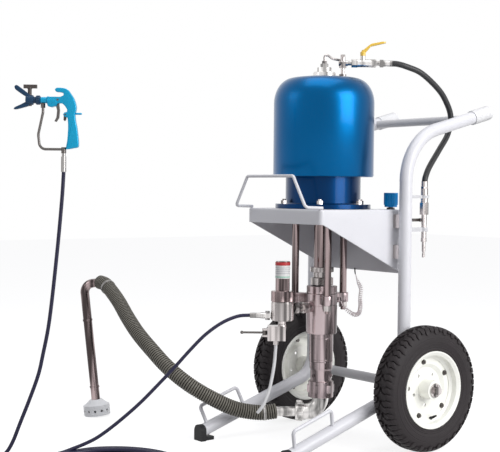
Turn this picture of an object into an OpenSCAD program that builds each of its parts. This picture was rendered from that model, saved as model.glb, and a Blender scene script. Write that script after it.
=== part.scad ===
// Airless paint sprayer: an air motor over a piston pump, carried on a two-wheel tube cart.
// X runs along the axle, the front skids point to -Y, the handles to +Y, and the floor is Z = 0.

/* [Wheels] */
// Diameter of the tyre
tyre_d = 406; // [380:1:430]
// Width of the tyre
tyre_w = 84; // [70:1:92]
// Diameter of the rim flange
rim_d = 250; // [230:1:260]
// Width of the rim across its flanges
rim_w = 80; // [70:1:88]
// Distance from the middle of a wheel to the middle line of the frame tube beside it
wheel_gap = 82; // [78:1:100]
// Diameter of the axle bar
axle_d = 25; // [20:1:28]
// Diameter of the wheel hub
hub_d = 62; // [50:1:80]
// Diameter of the dished disc inside the rim
dish_d = 150; // [120:1:170]

/* [Frame] */
// Outside diameter of the frame tubes
tube_d = 42; // [34:1:44]
// Wall of the frame tubes
tube_wall = 3; // [2:0.5:4]
// Distance between the middles of the two frame tubes
frame_span = 456; // [450:1:462]
// Angle of the skids to the floor
skid_angle = 18; // [16:0.5:20]
// How far the skids reach in front of the axle
skid_reach = 503; // [480:1:520]
// Height of the skid tube's middle line above the axle foot
skid_height = 194; // [188:1:200]
// How far the uprights stand in front of the axle
upright_set = 17; // [14:1:20]
// Height of the handle ends
handle_height = 1112; // [1090:1:1140]
// How far the handles reach behind the axle
handle_reach = 371; // [340:1:400]
// Angle of the handles to the floor
handle_angle = 15; // [10:1:20]
// Diameter of the crossbar between the handles
crossbar_d = 28; // [22:1:32]
// Length of the hand grips
grip_len = 88; // [70:1:100]

/* [Motor bracket] */
// Gap between the bracket's sides and the frame tubes
bracket_gap = 19; // [17:1:24]
// How far the bracket reaches in front of the axle
bracket_front = 348; // [336:1:352]
// How far the bracket reaches behind the axle
bracket_rear = 15; // [10:1:20]
// Height of the bracket's top face
bracket_top = 778; // [770:1:786]
// Depth of the front apron
apron_depth = 48; // [40:1:60]
// Depth of the rear wall
rear_depth = 213; // [190:1:216]
// Thickness of the sheet
sheet = 4; // [3:0.5:5]

/* [Air motor] */
// How far the pump axis stands in front of the axle
pump_set = 176; // [174:1:178]
// Outside diameter of the motor shell
shell_d = 334; // [320:1:340]
// Height of the straight side of the shell
shell_h = 250; // [235:1:260]
// Height of the dome over the straight side
dome_h = 84; // [76:1:92]
// Outside diameter of the air cylinder below the shell
neck_d = 250; // [244:1:256]
// Gap in height between the flange foot and the shell
neck_h = 106; // [100:1:110]
// Diameter of the foot flange
flange_d = 318; // [312:1:326]
// Thickness of the foot flange
flange_t = 16; // [12:1:20]
// Stroke of the motor and pump
stroke = 100; // [80:1:110]
// Diameter of the connecting rod
rod_d = 56; // [50:1:60]

/* [Pump] */
// Diameter of the circle through the tie rods
tie_circle = 190; // [186:1:196]
// Diameter of each tie rod
tie_d = 24; // [20:1:26]
// Height of the underside of the pump arms
arm_z = 462; // [456:1:466]
// Thickness of the pump arms
arm_t = 33; // [28:1:34]
// Diameter of the pump head
head_d = 104; // [98:1:110]
// Height of the underside of the pump head
head_z = 361; // [352:1:368]
// Diameter of the pump cylinder
cyl_d = 80; // [78:1:90]
// Height of the underside of the pump cylinder
cyl_z = 268; // [260:1:274]
// Bore of the pump
bore_d = 72; // [66:1:76]
// Diameter of the displacement rod
pump_rod_d = 40; // [36:1:44]
// Height of the middle of the intake pipe
intake_z = 97; // [92:1:102]
// Direction of the intake and outlet, seen from above
intake_angle = 232.7; // [228:0.1:238]

/* [Filter] */
// How far the filter stands in front of the pump axis
filter_set = 169; // [165:1:175]
// Diameter of the filter body
filter_d = 74; // [70:1:80]
// Diameter of the filter bowl
bowl_d = 47; // [42:1:52]
// Length of the drain lever
drain_lever_len = 88; // [70:1:96]

/* [Hoses] */
// Diameter of the high-pressure hose
pressure_d = 12; // [12:1:12]
// Diameter of the air hose
air_d = 20; // [20:1:20]
// Diameter of the suction hose
suction_d = 50; // [50:1:50]
// Diameter of the siphon tube
siphon_d = 32; // [30:1:34]
// Diameter of the drain tube
drain_d = 11; // [11:1:11]
// Diameter over the curls of the earth lead
lead_d = 9; // [9:1:9]
// Diameter of the siphon strainer
strainer_d = 96; // [86:1:110]

/* [Gun] */
// Thickness of the gun body
gun_t = 26; // [22:1:28]

/* [Hidden] */

$fn = 64;
// Clearance of sliding and turning fits, and of seated parts
fit = 0.1;
seat = 0.2;
// How far straight bars run into a bend, and how much fuller the bend is as a share of its radius
lap = 0.4;
swell = 0.02;

// ---- Places worked out from the sizes above ----
wheel_r = tyre_d / 2;
wheel_x = frame_span / 2 + wheel_gap;
tube_r = tube_d / 2;
tube_x = frame_span / 2;
pump_y = -pump_set;
skid_front = -skid_reach;
skid_front_z = skid_height - skid_reach * tan(skid_angle);
upright_y = -upright_set;
heel_bend = 90;
neck_bend = 180;
heel_z = skid_height - upright_set * tan(skid_angle);
nape_z = handle_height - (handle_reach + upright_set) * tan(handle_angle);
bracket_mid_y = (bracket_rear - bracket_front) / 2;
bracket_len = bracket_rear + bracket_front;
bracket_x = frame_span / 2 - tube_d / 2 - bracket_gap;
bracket_w = 2 * bracket_x;
shell_z = bracket_top + neck_h;
shell_top = shell_z + shell_h + dome_h;
pump_axis = [0, pump_y, 0];
tie_r = tie_circle / 2;
arm_top = arm_z + arm_t;
packing_h = 26;
packing_top = arm_top + packing_h;
coupling_z = packing_top + 1;
coupling_top = coupling_z + 61;
piston_z = bracket_top + flange_t + 8;
cylinder_top = piston_z + stroke + 60;
filter_y = pump_y - filter_set;
union_z = 452;
outlet_z = 430;
filter_foot = 414;
filter_ring_z = 476;
filter_ring_top = 511;
bowl_top = 608;
drain_z = 374;
reach = [cos(intake_angle), sin(intake_angle), 0];
side = [-sin(intake_angle), cos(intake_angle), 0];
line_z = 1262;
spool_r = 205;
spool_at = [-49, -962];

function unit(v) = v / norm(v);
function lerp(a, b, t) = a + (b - a) * t;
// Catmull-Rom point between b and c
function spline(a, b, c, d, t) =
    0.5 * (2 * b + (c - a) * t + (2 * a - 5 * b + 4 * c - d) * t * t
    + (3 * b - a - 3 * c + d) * t * t * t);
function smooth(p, n) = [
    for (i = [0:len(p) - 2])
        for (j = [0:n - 1])
            spline(p[max(i - 1, 0)], p[i], p[i + 1], p[min(i + 2, len(p) - 1)], j / n),
    p[len(p) - 1]];
function tangent(p, i) = unit(p[min(i + 1, len(p) - 1)] - p[max(i - 1, 0)]);

// ---- Routes of the hoses, from their fittings outward ----
run_route = [[-64, -429, 430], [-84, -463, 427], [-103, -512, 407], [-122, -564, 370],
    [-137, -613, 322], [-152, -663, 268], [-169, -715, 214], [-187, -773, 157],
    [-209, -839, 101], [-229, -893, 61], [-242, -930, 41], [-250, -966, 26], [-250, -1000, 19]];
riser_route = [[-266, -962, 7], [-266, -1010, 7], [-258, -1075, 7], [-239, -1140, 7],
    [-214, -1205, 7], [-194, -1265, 7], [-187, -1320, 7], [-208, -1374, 7], [-260, -1400, 7],
    [-316, -1383, 7], [-344, -1332, 7], [-334, -1277, 7], [-315, -1248, 8], [-294, -1215, 16],
    [-276, -1187, 38], [-265, -1169, 72], [-253, -1151, 128], [-237, -1126, 205],
    [-225, -1105, 275], [-218, -1094, 334], [-209, -1077, 440], [-202, -1057, 636],
    [-198, -1043, 801], [-197, -1038, 886]];
suction_route = [[-90, -294, 97], [-119, -344, 93], [-156, -416, 108], [-195, -484, 144],
    [-250, -542, 189], [-320, -577, 238], [-390, -594, 287], [-473, -601, 338],
    [-550, -597, 386], [-629, -587, 435], [-706, -579, 474], [-741, -578, 489],
    [-774, -580, 494]];
air_route = [[136, 2, 1262], [147, 17, 1261], [162, 45, 1253], [178, 98, 1234],
    [186, 165, 1190], [187, 206, 1150], [185, 236, 1096], [188, 220, 1035],
    [200, 165, 978], [215, 104, 920], [224, 77, 886], [226, 72, 872]];
drain_route = [[-12, -361, 334], [-12, -362, 318], [-13, -366, 270], [-17, -377, 205],
    [-24, -389, 160], [-31, -400, 132], [-42, -411, 112]];
earth_route = [[-37, 6, 572], [-34, 6, 552], [-16, 3, 526], [2, 0, 502], [10, -10, 472],
    [26, -24, 444], [42, -46, 424], [46, -72, 422], [38, -95, 437], [27, -108, 458],
    [21.8, -113, 480]];

// ---- Shared shapes ----
// A round bar through corner points, with a true arc of the given radius at each corner
module bent_bar(p, r, bends) {
    n = len(p) - 1;
    d = [for (i = [0:n - 1]) unit(p[i + 1] - p[i])];
    turn = [for (i = [0:n]) i == 0 || i == n ? 0 : acos(d[i - 1] * d[i])];
    cut = [for (i = [0:n]) i == 0 || i == n ? 0 : bends[i - 1] * tan(turn[i] / 2)];
    for (i = [0:n - 1])
        rod(p[i] + d[i] * (cut[i] - (i > 0 ? lap : 0)),
            p[i + 1] - d[i] * (cut[i + 1] - (i < n - 1 ? lap : 0)), r);
    for (i = [1:n - 1]) {
        inward = unit(d[i] - d[i - 1] * (d[i - 1] * d[i]));
        middle = p[i] - d[i - 1] * cut[i] + inward * bends[i - 1];
        axis = cross(-inward, d[i - 1]);
        multmatrix([[-inward[0], d[i - 1][0], axis[0], middle[0]],
            [-inward[1], d[i - 1][1], axis[1], middle[1]],
            [-inward[2], d[i - 1][2], axis[2], middle[2]], [0, 0, 0, 1]])
            rotate_extrude(angle = turn[i])
                translate([bends[i - 1], 0]) circle(r * (1 + swell));
    }
}

// A straight round bar between two points
module rod(a, b, r) {
    v = b - a;
    translate(a)
        rotate([0, acos(v[2] / norm(v)), atan2(v[1], v[0])])
            cylinder(h = norm(v), r = r);
}

// Places its children with their Z axis along a direction
module along(at, dir) {
    translate(at)
        rotate([0, acos(dir[2] / norm(dir)), atan2(dir[1], dir[0])])
            children();
}

module ring(outer, inner, h) {
    difference() {
        cylinder(h = h, d = outer);
        translate([0, 0, -1]) cylinder(h = h + 2, d = inner);
    }
}

module hexagon(across, h) {
    cylinder(h = h, d = across / cos(30), $fn = 6);
}

// A sheet shape drawn in the YZ plane and given a width along X
module profile_yz(x, width, points) {
    translate([x, 0, 0]) rotate([90, 0, 90]) linear_extrude(width) polygon(points);
}

module rounded_plate(w, l, r) {
    square([w - 2 * r, l], center = true);
    square([w, l - 2 * r], center = true);
    for (x = [-1, 1], y = [-1, 1])
        translate([x * (w / 2 - r), y * (l / 2 - r)]) circle(r);
}

// A hose swept along a route; flat is the direction that its rings never face
module hose(route, d, steps, sides, flat) {
    p = smooth(route, steps);
    n = len(p);
    a = [for (i = [0:n - 1]) unit(cross(flat, tangent(p, i)))];
    b = [for (i = [0:n - 1]) cross(tangent(p, i), a[i])];
    points = [for (i = [0:n - 1]) for (k = [0:sides - 1])
        p[i] + d / 2 * (a[i] * cos(360 * k / sides) + b[i] * sin(360 * k / sides))];
    walls = [for (i = [0:n - 2]) for (k = [0:sides - 1])
        [i * sides + k, i * sides + (k + 1) % sides,
        (i + 1) * sides + (k + 1) % sides, (i + 1) * sides + k]];
    start = [[for (k = [0:sides - 1]) sides - 1 - k]];
    end = [[for (k = [0:sides - 1]) (n - 1) * sides + k]];
    polyhedron(points = points, faces = [for (f = concat(walls, start, end))
        [for (q = [len(f) - 1:-1:0]) f[q]]]);
}

// ---- Cart ----
function frame_line(x, extra) =
    let (skid_dir = [0, cos(skid_angle), sin(skid_angle)],
        grip_dir = [0, cos(handle_angle), sin(handle_angle)])
    [[x, skid_front, skid_front_z] - skid_dir * extra,
    [x, upright_y, heel_z], [x, upright_y, nape_z],
    [x, handle_reach, handle_height] + grip_dir * extra];

module frame_tube(x) {
    bends = [heel_bend, neck_bend];
    color("whitesmoke")
        difference() {
            union() {
                bent_bar(frame_line(x, 0), tube_r, bends);
                translate([x - tube_r - 4, 0, wheel_r])
                    rotate([0, 90, 0]) cylinder(h = tube_d + 8, d = axle_d + 18);
            }
            bent_bar(frame_line(x, 1), tube_r - tube_wall, bends);
            translate([x - tube_d, 0, wheel_r])
                rotate([0, 90, 0]) cylinder(h = 2 * tube_d, d = axle_d + 2 * fit);
        }
}

module axle_bar() {
    half = wheel_x + rim_w / 2 + 22;
    color("lightsteelblue")
        difference() {
            translate([-half, 0, wheel_r])
                rotate([0, 90, 0]) cylinder(h = 2 * half, d = axle_d);
            for (s = [-1, 1])
                translate([s * (half - 7), 0, wheel_r - axle_d])
                    cylinder(h = 2 * axle_d, d = 5);
        }
}

module rim(x, out) {
    r = rim_d / 2;
    w = rim_w / 2;
    drop = 22;
    wall = 4;
    face = 9;
    color("white")
        along([x, 0, wheel_r], [out, 0, 0])
            difference() {
                union() {
                    rotate_extrude() {
                        polygon([[r - 4, -w], [r, -w], [r, -w + 4], [r - 10, -w + 9],
                            [r - 13, -w + 24], [r - drop, -w + 30], [r - drop, w - 30],
                            [r - 13, w - 24], [r - 10, w - 9], [r, w - 4], [r, w], [r - 4, w],
                            [r - 14, w - 6], [r - 13 - wall, w - 22], [r - drop - wall, w - 28],
                            [r - drop - wall, -w + 28], [r - 13 - wall, -w + 22],
                            [r - 14, -w + 6]]);
                        polygon([[r - drop - 1, face - 5], [r - drop - 1, face],
                            [dish_d / 2 + 6, face], [dish_d / 2 - 6, face - 9],
                            [hub_d / 2 - 2, face - 9], [hub_d / 2 - 2, face - 14],
                            [dish_d / 2 - 8, face - 14], [dish_d / 2 + 4, face - 5]]);
                    }
                    translate([0, 0, -w - 4]) cylinder(h = rim_w + 8, d = hub_d);
                }
                translate([0, 0, -w - 6]) cylinder(h = rim_w + 12, d = axle_d + 4 * fit);
                for (k = [0:4]) rotate(72 * k)
                    translate([dish_d / 2 - 22, 0, -w]) cylinder(h = rim_w, d = 11);
            }
}

module tyre(x) {
    r = wheel_r;
    w = tyre_w / 2;
    bead = rim_d / 2;
    seat_r = bead - 22 + seat;
    color([0.12, 0.12, 0.12])
        along([x, 0, wheel_r], [1, 0, 0])
            difference() {
                rotate_extrude($fn = 96) polygon([[seat_r, 0], [seat_r, 9], [bead - 12, 16],
                    [bead - 9, 30], [bead + 1, rim_w / 2 - 4.6], [bead + 6, rim_w / 2],
                    [bead + 24, w], [bead + 44, w - 1],
                    [r - 18, w - 4], [r - 7, w - 10], [r - 2, w - 20], [r, w - 32], [r, 0],
                    [r, -w + 32], [r - 2, -w + 20], [r - 7, -w + 10], [r - 18, -w + 4],
                    [bead + 44, -w + 1], [bead + 24, -w], [bead + 6, -rim_w / 2],
                    [bead + 1, -rim_w / 2 + 4.6], [bead - 9, -30], [bead - 12, -16],
                    [seat_r, -9]]);
                rotate_extrude() translate([(bead + r) / 2 + 2, 0])
                    circle(d = r - bead - 18);
            }
}

module handle_crossbar() {
    y = handle_reach - grip_len - 6;
    z = handle_height - (grip_len + 6) * tan(handle_angle);
    color("white")
        difference() {
            translate([-tube_x, y, z]) rotate([0, 90, 0]) cylinder(h = frame_span, d = crossbar_d);
            for (s = [-1, 1]) bent_bar(frame_line(s * tube_x, 1), tube_r + fit,
                [heel_bend, neck_bend]);
        }
}

module handle_grips() {
    dir = [0, cos(handle_angle), sin(handle_angle)];
    color("gainsboro")
        for (s = [-1, 1])
            along([s * tube_x, handle_reach, handle_height] - dir * (grip_len - 8), dir)
                difference() {
                    union() {
                        cylinder(h = grip_len, d = tube_d + 5);
                        for (k = [0:5]) translate([0, 0, 6 + 13 * k])
                            cylinder(h = 5, d = tube_d + 7);
                    }
                    translate([0, 0, -1]) cylinder(h = grip_len - 7 + seat, d = tube_d + 2 * fit);
                }
}

// A bent rod over each skid, welded to the top of the tube and leaning outward
module rail_hoops() {
    r = 6;
    lean = 18;
    rise = 54;
    up = [0, -sin(skid_angle), cos(skid_angle)];
    color("whitesmoke")
        for (s = [-1, 1]) {
            foot_rear = [s * tube_x, -322, skid_height - 322 * tan(skid_angle)];
            foot_front = [s * tube_x, -474, skid_height - 474 * tan(skid_angle)];
            out = [s * lean, 0, 0];
            difference() {
                bent_bar([foot_front, foot_front + up * (tube_r + rise) + out,
                    foot_rear + up * (tube_r + rise) + out, foot_rear], r, [12, 12]);
                bent_bar(frame_line(s * tube_x, 1), tube_r + fit, [heel_bend, neck_bend]);
            }
        }
}

// D-shaped rubber shoe on the front of each skid, with a plug in the tube
module rubber_feet() {
    dir = [0, cos(skid_angle), sin(skid_angle)];
    toe = 12;
    color([0.1, 0.1, 0.1])
        for (s = [-1, 1]) {
            end = [s * tube_x, skid_front, skid_front_z];
            difference() {
                union() {
                    translate([s * tube_x, skid_front + 6, 0]) rotate([90, 0, 0])
                        linear_extrude(toe + 8) {
                            translate([-tube_r - 1, 0]) square([tube_d + 2, 32]);
                            translate([0, 32]) circle(tube_r + 1);
                        }
                    translate([s * tube_x - 15, skid_front + 2, 0]) cube([30, 40, 12]);
                    along(end, dir) cylinder(h = 30, r = tube_r - tube_wall - fit);
                }
                difference() {
                    along(end, dir) cylinder(h = 80, r = tube_r + fit);
                    along(end, dir) cylinder(h = 80, r = tube_r - tube_wall - fit);
                }
            }
        }
}

// ---- Motor bracket ----
module motor_bracket() {
    h = rear_depth;
    color("whitesmoke")
        difference() {
            translate([0, bracket_mid_y, bracket_top - h])
                difference() {
                    linear_extrude(h) rounded_plate(bracket_w, bracket_len, 12);
                    translate([0, 0, -1]) linear_extrude(h + 1 - sheet)
                        rounded_plate(bracket_w - 2 * sheet, bracket_len - 2 * sheet, 12 - sheet);
                }
            profile_yz(-bracket_w, 2 * bracket_w,
                [[-bracket_front - 5, bracket_top - h - 5],
                [-bracket_front - 5, bracket_top - apron_depth],
                [-bracket_front + 12, bracket_top - apron_depth],
                [bracket_rear, bracket_top - h], [bracket_rear, bracket_top - h - 5]]);
            translate([0, pump_y, bracket_top - 2 * sheet])
                cylinder(h = 3 * sheet, d = rod_d + 4);
            for (a = [0:60:300])
                translate([0, pump_y, bracket_top - 2 * sheet]) rotate(a + 15)
                    translate([(neck_d + flange_d) / 4, 0, 0]) cylinder(h = 3 * sheet, d = 13);
            for (a = [90, 210, 330])
                translate([0, pump_y, bracket_top - 2 * sheet]) rotate(a)
                    translate([tie_r, 0, 0]) cylinder(h = 3 * sheet, d = tie_d / 2 + 1);
            translate([150, -8, bracket_top - 2 * sheet]) cylinder(h = 3 * sheet, d = 17);
            for (s = [-1, 1], z = [640, 740])
                translate([s * bracket_x - 20, upright_y, z])
                    rotate([0, 90, 0]) cylinder(h = 40, d = 11);
        }
}

// Spacer blocks between the bracket's sides and the uprights, each with its bolt
module bracket_mounts() {
    gap = tube_x - tube_r - bracket_x;
    color("silver")
        for (s = [-1, 1], z = [640, 740]) {
            difference() {
                translate([s * (bracket_x + (gap + 6) / 2), upright_y, z])
                    cube([gap + 6 - 2 * fit, 30, 44], center = true);
                translate([s * tube_x, upright_y, z - 60]) cylinder(h = 120, r = tube_r + fit);
            }
            along([s * (bracket_x + fit - 0.2), upright_y, z], [-s, 0, 0]) cylinder(h = 10, d = 10);
            along([s * (bracket_x - sheet - fit), upright_y, z], [-s, 0, 0]) hexagon(17, 8);
        }
}

module lift_handle() {
    x = bracket_x - 8;
    bar_x = 118;
    out = bracket_front + 55;
    z = bracket_top + 5;
    color("white")
        bent_bar([[-x, -bracket_front + 14, z + 0.2], [-x, -out, z + 2], [-bar_x, -out, z + 100],
            [bar_x, -out, z + 100], [x, -out, z + 2], [x, -bracket_front + 14, z + 0.2]],
            5, [12, 12, 12, 12]);
}

// ---- Air motor ----
module motor_shell() {
    r = shell_d / 2;
    t = 4;
    lip = neck_d / 2 + fit;
    run = 63;
    flat = r - run;
    color([0.05, 0.25, 0.65])
        translate([0, pump_y, shell_z])
            difference() {
                rotate_extrude($fn = 128) polygon(concat(
                    [[lip, 0], [r - 4, 0], [r, 4]],
                    [for (a = [0:9:90]) [flat + run * cos(a), shell_h - 8 + dome_h * sin(a)]],
                    [[48, shell_h + dome_h], [8, shell_h + dome_h],
                    [8, shell_h + dome_h - t - 2], [48, shell_h + dome_h - t - 2]],
                    [for (a = [90:-9:0])
                        [flat + (run - 5) * cos(a), shell_h - 8 + (dome_h - t - 2) * sin(a)]],
                    [[r - 5, 8], [lip, 8]]));
                translate([0, 0, shell_h + dome_h]) rotate(intake_angle + 180)
                    translate([61, 0, -40]) cylinder(h = 60, d = 15);
            }
}

module motor_cylinder() {
    inner = neck_d / 2 - 9;
    h = cylinder_top - bracket_top;
    color([0.05, 0.2, 0.55])
        translate([0, pump_y, bracket_top])
            difference() {
                rotate_extrude($fn = 96) polygon([[rod_d / 2 + 2 * fit, 0.1], [flange_d / 2, 0.1],
                    [flange_d / 2, flange_t], [neck_d / 2, flange_t],
                    [neck_d / 2, h], [0, h], [0, h - 14], [inner, h - 14], [inner, flange_t],
                    [rod_d / 2 + 2 * fit, flange_t]]);
                for (a = [0:60:300]) rotate(a + 15)
                    translate([(neck_d + flange_d) / 4, 0, -1]) cylinder(h = flange_t + 2, d = 12);
            }
}

// Distance tube round the axle, between the bosses of the uprights
module axle_sleeve() {
    half = tube_x - tube_r - 4 - seat;
    color("whitesmoke")
        along([-half, 0, wheel_r], [1, 0, 0]) ring(33, axle_d + 2 * fit, 2 * half);
}

// Axle spacers, washers and cross pins, flange bolts, and the nuts under the pump arms
module fasteners() {
    half = wheel_x + rim_w / 2 + 22;
    hub_half = rim_w / 2 + 4;
    boss = tube_x + tube_r + 4;
    color("silver") {
        for (s = [-1, 1]) {
            along([s * (boss + seat), 0, wheel_r], [s, 0, 0])
                ring(axle_d + 12, axle_d + 2 * fit, wheel_x - hub_half - boss - 1);
            along([s * (wheel_x + hub_half + 0.5), 0, wheel_r], [s, 0, 0])
                ring(axle_d + 20, axle_d + 2 * fit, 4);
            translate([s * (half - 7), 0, wheel_r - axle_d / 2 - 6])
                cylinder(h = axle_d + 12, d = 5 - 2 * fit);
        }
        for (a = [0:60:300])
            translate([0, pump_y, 0]) rotate(a + 15) translate([(neck_d + flange_d) / 4, 0, 0]) {
                translate([0, 0, bracket_top + flange_t + fit]) hexagon(19, 11);
                translate([0, 0, bracket_top - sheet - 12 - fit]) hexagon(19, 12);
                translate([0, 0, bracket_top - sheet - 16])
                    cylinder(h = sheet + flange_t + 32, d = 11.6);
            }
        for (a = [90, 210, 330])
            translate([0, pump_y, 0]) rotate(a) translate([tie_r, 0, arm_z - fit])
                mirror([0, 0, 1]) difference() {
                    hexagon(26, 17);
                    translate([0, 0, -1]) cylinder(h = 20, d = 16 + 2 * fit);
                }
    }
}

module air_piston() {
    inner = neck_d / 2 - 9;
    color("darkgray")
        translate([0, pump_y, piston_z])
            rotate_extrude() polygon([[18 + fit, 0], [inner - 12, 0], [inner - fit, 4],
                [inner - fit, 24], [inner - 12, 28], [18 + fit, 28]]);
}

module connecting_rod() {
    color("gainsboro")
        translate([0, pump_y, 0]) {
            translate([0, 0, coupling_top + fit])
                cylinder(h = piston_z - fit - coupling_top - fit, d = rod_d);
            translate([0, 0, piston_z - 2 * fit]) cylinder(h = 40, d = 36);
            translate([0, 0, piston_z + 28 + fit]) hexagon(50, 10);
        }
}

module pilot_cap() {
    color("dimgray")
        translate([0, pump_y, shell_top + fit])
            difference() {
                union() {
                    cylinder(h = 11, d = 74);
                    translate([0, 0, 10]) cylinder(h = 18, d = 48);
                    translate([0, 0, 27]) hexagon(24, 14);
                    for (a = [0:60:300]) rotate(a) translate([30, 0, 10]) hexagon(8, 4);
                }
                translate([0, 0, 30]) cylinder(h = 12, d = 12 + 2 * fit);
            }
}

// Riser and tee that feed the motor, with the small pilot pipe across to the cap
module air_manifold() {
    tee = 61;
    away = -reach;
    riser = [away[0] * tee, pump_y + away[1] * tee, 0];
    base_z = shell_top - 5;
    cap_z = shell_top + fit + 27;
    color("silver") {
        difference() {
            union() {
                translate(riser + [0, 0, base_z]) cylinder(h = line_z - base_z, d = 13);
                translate(riser + [0, 0, shell_top + fit]) cylinder(h = 7, d = 24);
                along(riser + [0, 0, line_z] - away * 14, away) cylinder(h = 30, d = 19);
                translate(riser + [0, 0, line_z - 16]) hexagon(21, 14);
                translate(riser + [0, 0, line_z + 6]) cylinder(h = 14, d = 16);
                translate(riser + [0, 0, line_z + 20]) hexagon(14, 8);
            }
            along(riser + [0, 0, line_z], away) cylinder(h = 40, d = 10);
        }
        bent_bar([[0, pump_y, cap_z + 4], [0, pump_y, 1284 + 12],
            [away[0] * 26, pump_y + away[1] * 26, 1276],
            riser + [0, 0, line_z + 9] - away * 6], 4, [8, 22]);
        translate([0, pump_y, cap_z + 14.5]) hexagon(15, 9);
    }
}

module air_valve_body() {
    away = -reach;
    start = [away[0] * 77.2, pump_y + away[1] * 77.2, line_z];
    color("silver")
        difference() {
            union() {
                along(start, away) {
                    cylinder(h = 12, d = 15);
                    translate([0, 0, 12]) hexagon(24, 20);
                    translate([0, 0, 31]) cylinder(h = 46, d = 26);
                    translate([0, 0, 76]) hexagon(24, 18);
                    translate([0, 0, 93]) cylinder(h = 14, d = 16);
                    translate([0, 0, 106]) hexagon(22, 12);
                    translate([0, 0, 117]) cylinder(h = 29.8, d = 20);
                }
                translate(start + away * 50) cylinder(h = 24, d = 16);
            }
            along(start - away * 2, away) cylinder(h = 30, d = 10);
            translate(start + away * 50 + [0, 0, 14]) cylinder(h = 12, d = 8 + 2 * fit);
        }
}

// Lever of the supply valve: stem, hub and a raised yellow handle
module air_valve_lever() {
    away = -reach;
    stem = [away[0] * 127.2, pump_y + away[1] * 127.2, line_z];
    color("gold")
        translate(stem) rotate(intake_angle + 180) {
            translate([0, 0, 14.2]) cylinder(h = 30, d = 8);
            translate([0, 0, 25]) cylinder(h = 12, d = 18);
            hull() {
                translate([0, 0, 33]) cylinder(h = 5, d = 15, $fn = 32);
                translate([26, 0, 58]) rotate([0, -35, 0]) cylinder(h = 5, d = 15, $fn = 32);
            }
            hull() {
                translate([26, 0, 58]) rotate([0, -35, 0]) cylinder(h = 5, d = 15, $fn = 32);
                translate([68, 0, 67]) cylinder(h = 5, d = 16, $fn = 32);
            }
        }
}

module air_hose() {
    color([0.08, 0.08, 0.09]) hose(air_route, air_d, 4, 10, [1, 0, 0]);
}

// ---- Air inlet on the right-hand upright ----
inlet = [226, 71, 0];

module inlet_valve() {
    color("silver")
        difference() {
            translate(inlet) {
                translate([0, 0, 854]) cylinder(h = 17.8, d = 22);
                translate([0, 0, 848]) hexagon(20, 8);
                translate([0, 0, 800]) cylinder(h = 48, d = 24);
                translate([0, 0, 762]) hexagon(26, 40);
                translate([0, 0, 730]) cylinder(h = 34, d = 18);
                translate([0, 0, 682]) cylinder(h = 49, d = 17);
                translate([0, 0, 672]) hexagon(17, 12);
                translate([0, 0, 640]) cylinder(h = 34, d = 12);
                translate([0, 0, 632]) cylinder(h = 9, d1 = 7, d2 = 10);
                translate([0, 0, 620]) cylinder(h = 13, d = 10);
                translate([0, 0, 744]) rotate([90, 0, -90]) cylinder(h = 12, d = 12);
            }
            translate(inlet + [0, 0, 618]) cylinder(h = 60, d = 6);
            translate(inlet + [0, 0, 744]) rotate([90, 0, -90])
                translate([0, 0, 4]) cylinder(h = 12, d = 6 + 2 * fit);
        }
}

module inlet_lever() {
    color("dimgray")
        translate(inlet + [0, 0, 744]) rotate([90, 0, -90]) {
            translate([0, 0, 4.2]) cylinder(h = 14, d = 6);
            translate([0, 0, 13]) cylinder(h = 5, d = 13);
            translate([0, -5, 14]) cube([38, 10, 4]);
        }
}

// Two bars welded to the upright, each with a ring that the inlet line hangs in
module inlet_bracket() {
    color("whitesmoke")
        difference() {
            union() {
                for (z = [[706, 14, 18.4], [816, 10, 24.4]]) {
                    translate([inlet[0] - 5, upright_y, z[0]]) cube([10, inlet[1] - upright_y, z[1]]);
                    translate([inlet[0], inlet[1], z[0]]) cylinder(h = z[1], d = z[2] + 8);
                }
            }
            translate([inlet[0], inlet[1], 700]) cylinder(h = 30, d = 17 + 2 * fit);
            translate([inlet[0], inlet[1], 810]) cylinder(h = 30, d = 24 + 2 * fit);
            translate([tube_x, upright_y, 690]) cylinder(h = 200, r = tube_r + fit);
        }
}

knob_at = [150, -8];

module regulator_body() {
    color("dimgray")
        difference() {
            translate([knob_at[0], knob_at[1], 0]) {
                translate([0, 0, bracket_top - 44]) cylinder(h = 44 - sheet - fit, d = 36);
                translate([0, 0, bracket_top - sheet - 1]) cylinder(h = 18, d = 16);
                translate([0, 0, bracket_top + fit]) hexagon(24, 6);
            }
            translate([knob_at[0], knob_at[1], bracket_top + 2]) cylinder(h = 30, d = 8 + 2 * fit);
        }
}

module regulator_knob() {
    color([0.05, 0.35, 0.7])
        translate([knob_at[0], knob_at[1], bracket_top + 3]) {
            cylinder(h = 12, d = 8);
            translate([0, 0, 12]) difference() {
                cylinder(h = 40, d = 47);
                for (k = [0:15]) rotate(22.5 * k)
                    translate([24.5, 0, -1]) cylinder(h = 36, d = 5);
            }
            translate([0, 0, 5]) difference() {
                cylinder(h = 8, d = 42);
                translate([0, 0, -1]) cylinder(h = 8, d = 30);
            }
        }
}

// ---- Pump ----
module tie_rods() {
    color("silver")
        for (a = [90, 210, 330])
            translate([0, pump_y, 0]) rotate(a) translate([tie_r, 0, 0]) {
                translate([0, 0, arm_top + fit])
                    cylinder(h = bracket_top - sheet - arm_top - 2 * fit, d = tie_d);
                translate([0, 0, arm_z - 26]) cylinder(h = arm_t + 28, d = 16);
                translate([0, 0, bracket_top - sheet - 1]) cylinder(h = sheet + 1, d = tie_d / 2);
            }
}

module rod_coupling() {
    color("silver")
        translate([0, pump_y, 0])
            difference() {
                union() {
                    translate([0, 0, coupling_z]) hexagon(66, 27);
                    translate([0, 0, coupling_z + 26]) cylinder(h = 19, d = 57);
                    translate([0, 0, coupling_z + 44]) cylinder(h = 17, d = 78);
                }
                translate([0, 0, coupling_z - 1]) cylinder(h = 36, d = pump_rod_d + 2 * fit);
            }
}

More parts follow.
